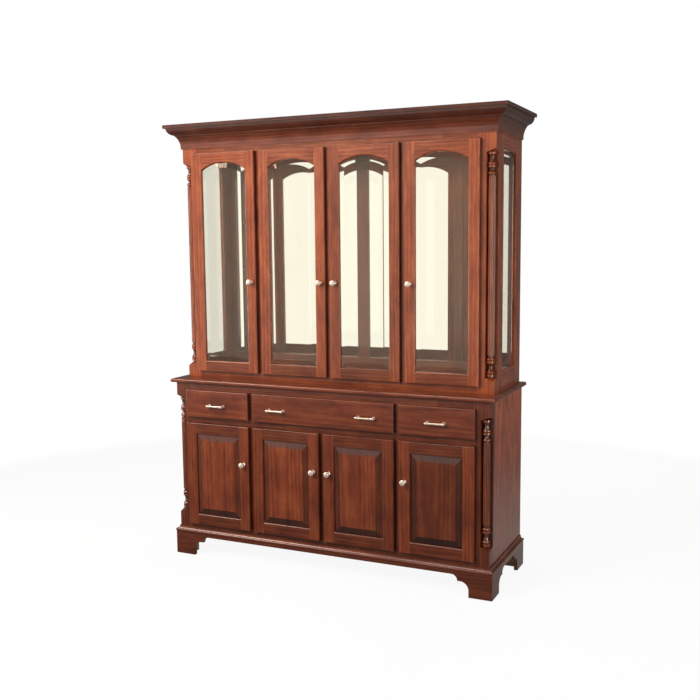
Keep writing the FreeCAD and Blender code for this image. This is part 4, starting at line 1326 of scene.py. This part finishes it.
@dataclass
class Drawer:
    """A drawer: front, dovetailed box and its pulls."""

    body: str
    pulls: tuple[float, ...]
    seed: float
    # Drawn darker than the hutch: painted light falling off toward the base.
    stain_and_shade: float = 0.51
    wall: float = 0.012
    heart_rise: float = 0.02
    box_step: float = 0.5

    def dress(self) -> None:
        """Give front and box their finish, and add the pulls."""
        low, high = (Vector(corner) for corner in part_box(f"{self.body}_front"))
        middle = (low + high) / 2.0
        front = OneBoard(Run.SIDEWAYS_FRONT, middle.z + self.heart_rise)
        wood = CHERRY.dress(f"{self.body}_cherry", front, Sawn.PLAIN, self.seed, self.stain_and_shade)
        cover(f"{self.body}_front", wood)
        box_low, box_high = (Vector(corner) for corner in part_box(f"{self.body}_box"))
        inner_half = (box_high.x - box_low.x) / 2.0 - self.wall
        box = DovetailedBox(middle.x, inner_half, box_low.y, box_high.y, self.wall)
        box_wood = INNER.dress(f"{self.body}_box_wood", box, Sawn.RIFT, self.seed + self.box_step)
        cover(f"{self.body}_box", box_wood)
        pull_low, pull_high = (Vector(corner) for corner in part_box(f"{self.body}_pull"))
        places = tuple((x, low.y, (pull_low.z + pull_high.z) / 2.0) for x in self.pulls)
        Pull(places, self.body, box_low.y + self.wall).build()


# Studio and camera

@dataclass(frozen=True)
class Lamp:
    """A soft lamp with a flat square or oblong face."""

    name: str
    place: Point
    aim: Point
    size: tuple[float, float]
    power: float
    colour: Colour
    mirrored: bool = True
    matt: bool = True

    def hang(self) -> None:
        """Hang the lamp in its place, turned to what it lights."""
        light = bpy.data.lights.new(self.name, "AREA")
        light.shape = "RECTANGLE"
        light.size, light.size_y = self.size
        light.energy = self.power
        light.color = self.colour
        holder = bpy.data.objects.new(self.name, light)
        bpy.context.scene.collection.objects.link(holder)
        holder.location = self.place
        holder.rotation_euler = (Vector(self.aim) - Vector(self.place)).to_track_quat("-Z", "Y").to_euler()
        holder.visible_camera = False
        holder.visible_diffuse = self.matt
        holder.visible_glossy = self.mirrored
        holder.visible_transmission = self.mirrored and self.matt


LAMPS = (
    Lamp("key_lamp", place=(-1.2, -2.8, 2.4), aim=(0.0, -0.2, 1.3), size=(1.4, 1.0), power=97.0,
         colour=(1.0, 0.965, 0.92), mirrored=False),
    Lamp("high_lamp", place=(-0.7, -2.4, 3.9), aim=(0.0, -0.2, 1.0), size=(0.9, 0.9), power=30.0,
         colour=(1.0, 0.97, 0.93)),
    Lamp("right_lamp", place=(3.3, -1.5, 1.3), aim=(0.5, 0.0, 1.2), size=(0.5, 2.4), power=46.0,
         colour=(0.88, 0.94, 1.0)),
    Lamp("left_lamp", place=(-3.4, -1.6, 1.1), aim=(0.0, -0.2, 1.0), size=(0.4, 2.0), power=36.0,
         colour=(1.0, 0.98, 0.95)),
    Lamp("back_lamp", place=(0.4, 3.4, 2.6), aim=(0.0, 0.3, 1.1), size=(1.6, 1.2), power=60.0,
         colour=(1.0, 0.97, 0.94), mirrored=False),
    Lamp("glint_lamp", place=(-2.9, -2.4, 3.9), aim=(0.0, -0.2, 0.8), size=(2.2, 2.2), power=165.0,
         colour=(1.0, 0.82, 0.70), matt=False),
    Lamp("inside_lamp", place=(0.0, 0.08, 1.93), aim=(0.0, -0.10, 1.2), size=(1.3, 0.12), power=1.7,
         colour=(0.85, 1.0, 0.88), mirrored=False),
)


@dataclass
class Studio:
    """A pale floor under soft lights, with a white room around them."""

    floor_half: float = 40.0
    floor_colour: Colour = (0.93, 0.925, 0.915)
    floor_bounce: Colour = (0.14, 0.13, 0.125)
    floor_glow: float = 0.92
    room_level: float = 0.15
    wall_level: float = 1.10
    wall_colour: Colour = (1.0, 0.985, 0.935)
    eye_colour: Colour = (1.0, 1.0, 1.0)
    front_level: float = 0.35
    near_level: float = 0.20
    middle_level: float = 0.30
    back_level: float = 0.13
    back_floor_level: float = 0.30
    beyond_level: float = 0.74
    matt_reach: tuple[float, float] = (1.5, 3.4)
    near_reach: tuple[float, float] = (1.5, 5.5)
    wall_reach: tuple[float, float] = (5.5, 7.5)
    back_reach: tuple[float, float] = (0.9, 3.0)
    floor_turn: tuple[float, float] = (-0.4, 0.6)
    room_turn: tuple[float, float] = (-0.3, 0.3)
    wall_top: tuple[float, float] = (0.08, 0.17)

    def build(self) -> None:
        """Lay the floor, light the room and hang the lamps."""
        self._floor()
        self._room()
        for lamp in LAMPS:
            lamp.hang()
        log.info("studio built")

    def _floor(self) -> None:
        """Lay the floor: matt near the object, fading into the white of the room far away."""
        form = bmesh.new()
        bmesh.ops.create_grid(form, x_segments=2, y_segments=2, size=self.floor_half)
        mesh = bpy.data.meshes.new("floor")
        form.to_mesh(mesh)
        form.free()
        floor = bpy.data.objects.new("floor", mesh)
        bpy.context.scene.collection.objects.link(floor)
        graph = Graph("pale_floor")
        x, y = graph.axis("x"), graph.axis("y")
        away = (x * x + y * y).root()
        far = away.ease(*self.matt_reach)
        behind = y.ease(*self.floor_turn)
        seen, lit, through = self._rays(graph)
        bounce = graph.blend(behind, self.floor_bounce, self.floor_colour)
        colour = graph.blend(seen, bounce, self.floor_colour)
        matt = graph.make("ShaderNodeBsdfDiffuse", {}, {"Color": colour})
        ahead = self.near_level + away.ease(*self.near_reach) * (self.middle_level - self.near_level)
        ahead = ahead + away.ease(*self.wall_reach) * (self.wall_level - self.middle_level)
        close = 1.0 - away.ease(*self.back_reach)
        back = self.back_level + close * (self.back_floor_level - self.back_level)
        back = back + through * (self.beyond_level - back)
        strength = self._level(seen, lit, ahead + behind * (back - ahead))
        bright = graph.make("ShaderNodeEmission", {}, {"Color": self._shade(graph, seen, strength)})
        share = seen * far.most(self.floor_glow) + (1.0 - seen) * (1.0 - lit * (1.0 - far))
        shader = graph.make("ShaderNodeMixShader", {}, {0: share, 1: matt, 2: bright})
        mesh.materials.append(graph.close(shader))

    def _room(self) -> None:
        """Make the room white to the eye, with a bright wall that the mirrors show and dim round it."""
        world = bpy.data.worlds.new("white_room")
        bpy.context.scene.world = world
        world.use_nodes = True
        tree = world.node_tree
        tree.nodes.clear()
        graph = Graph.of_world(tree)
        _, y, z = graph.split(graph.make("ShaderNodeTexCoord", {}, {}, "Generated"))
        behind = y.ease(*self.room_turn)
        seen, lit, through = self._rays(graph)
        ahead = self.wall_level + z.ease(*self.wall_top) * (self.front_level - self.wall_level)
        back = self.back_level + through * (self.beyond_level - self.back_level)
        strength = self._level(seen, lit, ahead + behind * (back - ahead))
        room = graph.make("ShaderNodeBackground", {}, {"Color": self._shade(graph, seen, strength)})
        output = tree.nodes.new("ShaderNodeOutputWorld")
        tree.links.new(room.socket, output.inputs["Surface"])

    def _rays(self, graph: Graph) -> tuple[Value, Value, Value]:
        """Which rays come from the eye, from matt surfaces and straight through glass.

        Args:
            graph: The graph of the floor or the room.

        Returns:
            One or zero for each of the three.
        """
        kinds = ("Is Camera Ray", "Is Diffuse Ray", "Is Transmission Ray", "Glossy Depth")
        seen, lit, through, bounces = (graph.make("ShaderNodeLightPath", {}, {}, kind) for kind in kinds)
        return seen, lit, through * (bounces < 0.5)

    def _shade(self, graph: Graph, seen: Value, level: Value) -> Value:
        """The room's colour at a level: warm as the walls are, but white to the eye."""
        colour = graph.blend(seen, self.wall_colour, self.eye_colour)
        return graph.blend(1.0, graph.grey(level), colour, "MULTIPLY")

    def _level(self, seen: Value, lit: Value, mirrored: Value) -> Value:
        """How bright the room is: white to the eye, dim as a light, else as gloss and panes show it."""
        return seen + (1.0 - seen) * (lit * self.room_level + (1.0 - lit) * mirrored)


@dataclass
class PhotoCamera:
    """The camera, fitted to the photograph's corners."""

    place: Point = (1.9289, -4.0558, 1.5727)
    yaw: float = 24.973
    pitch: float = 6.745
    roll: float = -0.560
    focal_pixels: float = 936.34
    image_pixels: float = 700.0
    sensor: float = 36.0

    def build(self) -> None:
        """Set the camera up and make it the scene's own."""
        yaw, pitch, roll = (math.radians(angle) for angle in (self.yaw, self.pitch, self.roll))
        ahead = Vector((-math.sin(yaw) * math.cos(pitch), math.cos(yaw) * math.cos(pitch), -math.sin(pitch)))
        level = Vector((math.cos(yaw), math.sin(yaw), 0.0))
        upright = level.cross(ahead)
        right = math.cos(roll) * level + math.sin(roll) * upright
        up = math.cos(roll) * upright - math.sin(roll) * level
        lens = bpy.data.cameras.new("photo_camera")
        lens.sensor_width = self.sensor
        lens.lens = self.sensor * self.focal_pixels / self.image_pixels
        camera = bpy.data.objects.new("photo_camera", lens)
        bpy.context.scene.collection.objects.link(camera)
        turn = Matrix((right, up, -ahead)).transposed().to_4x4()
        camera.matrix_world = Matrix.Translation(self.place) @ turn
        bpy.context.scene.camera = camera
        log.info("camera set")


# Base doors are drawn darker than hutch doors and darker to the right, the base panels most: painted light
# falling off toward the base and to the right.
DOOR_COLUMNS = (
    DoorColumn(1, hutch_frame=0.97, base_frame=0.58, base_panel=0.73),
    DoorColumn(2, hutch_frame=0.85, base_frame=0.58, base_panel=0.65),
    DoorColumn(3, hutch_frame=0.85, base_frame=0.58, base_panel=0.63),
    DoorColumn(4, hutch_frame=0.94, base_frame=0.60, base_panel=0.44),
)
DRAWERS = (
    Drawer("drawer_left", pulls=(-0.565875,), seed=51.3),
    Drawer("drawer_middle", pulls=(-0.232, 0.232), seed=53.9),
    Drawer("drawer_right", pulls=(0.565875,), seed=55.1),
)


def main() -> None:
    """Dress the sub-assemblies in order, then set up the studio and the camera."""
    logging.basicConfig(level=logging.INFO, format="%(message)s")
    bpy.context.scene.view_settings.view_transform = "Standard"
    for assembly in (Mouldings(), CornerPosts(), HutchCase(), BaseCase(), *DOOR_COLUMNS, *DRAWERS):
        assembly.dress()
    Studio().build()
    PhotoCamera().build()


if __name__ == "__main__":
    main()
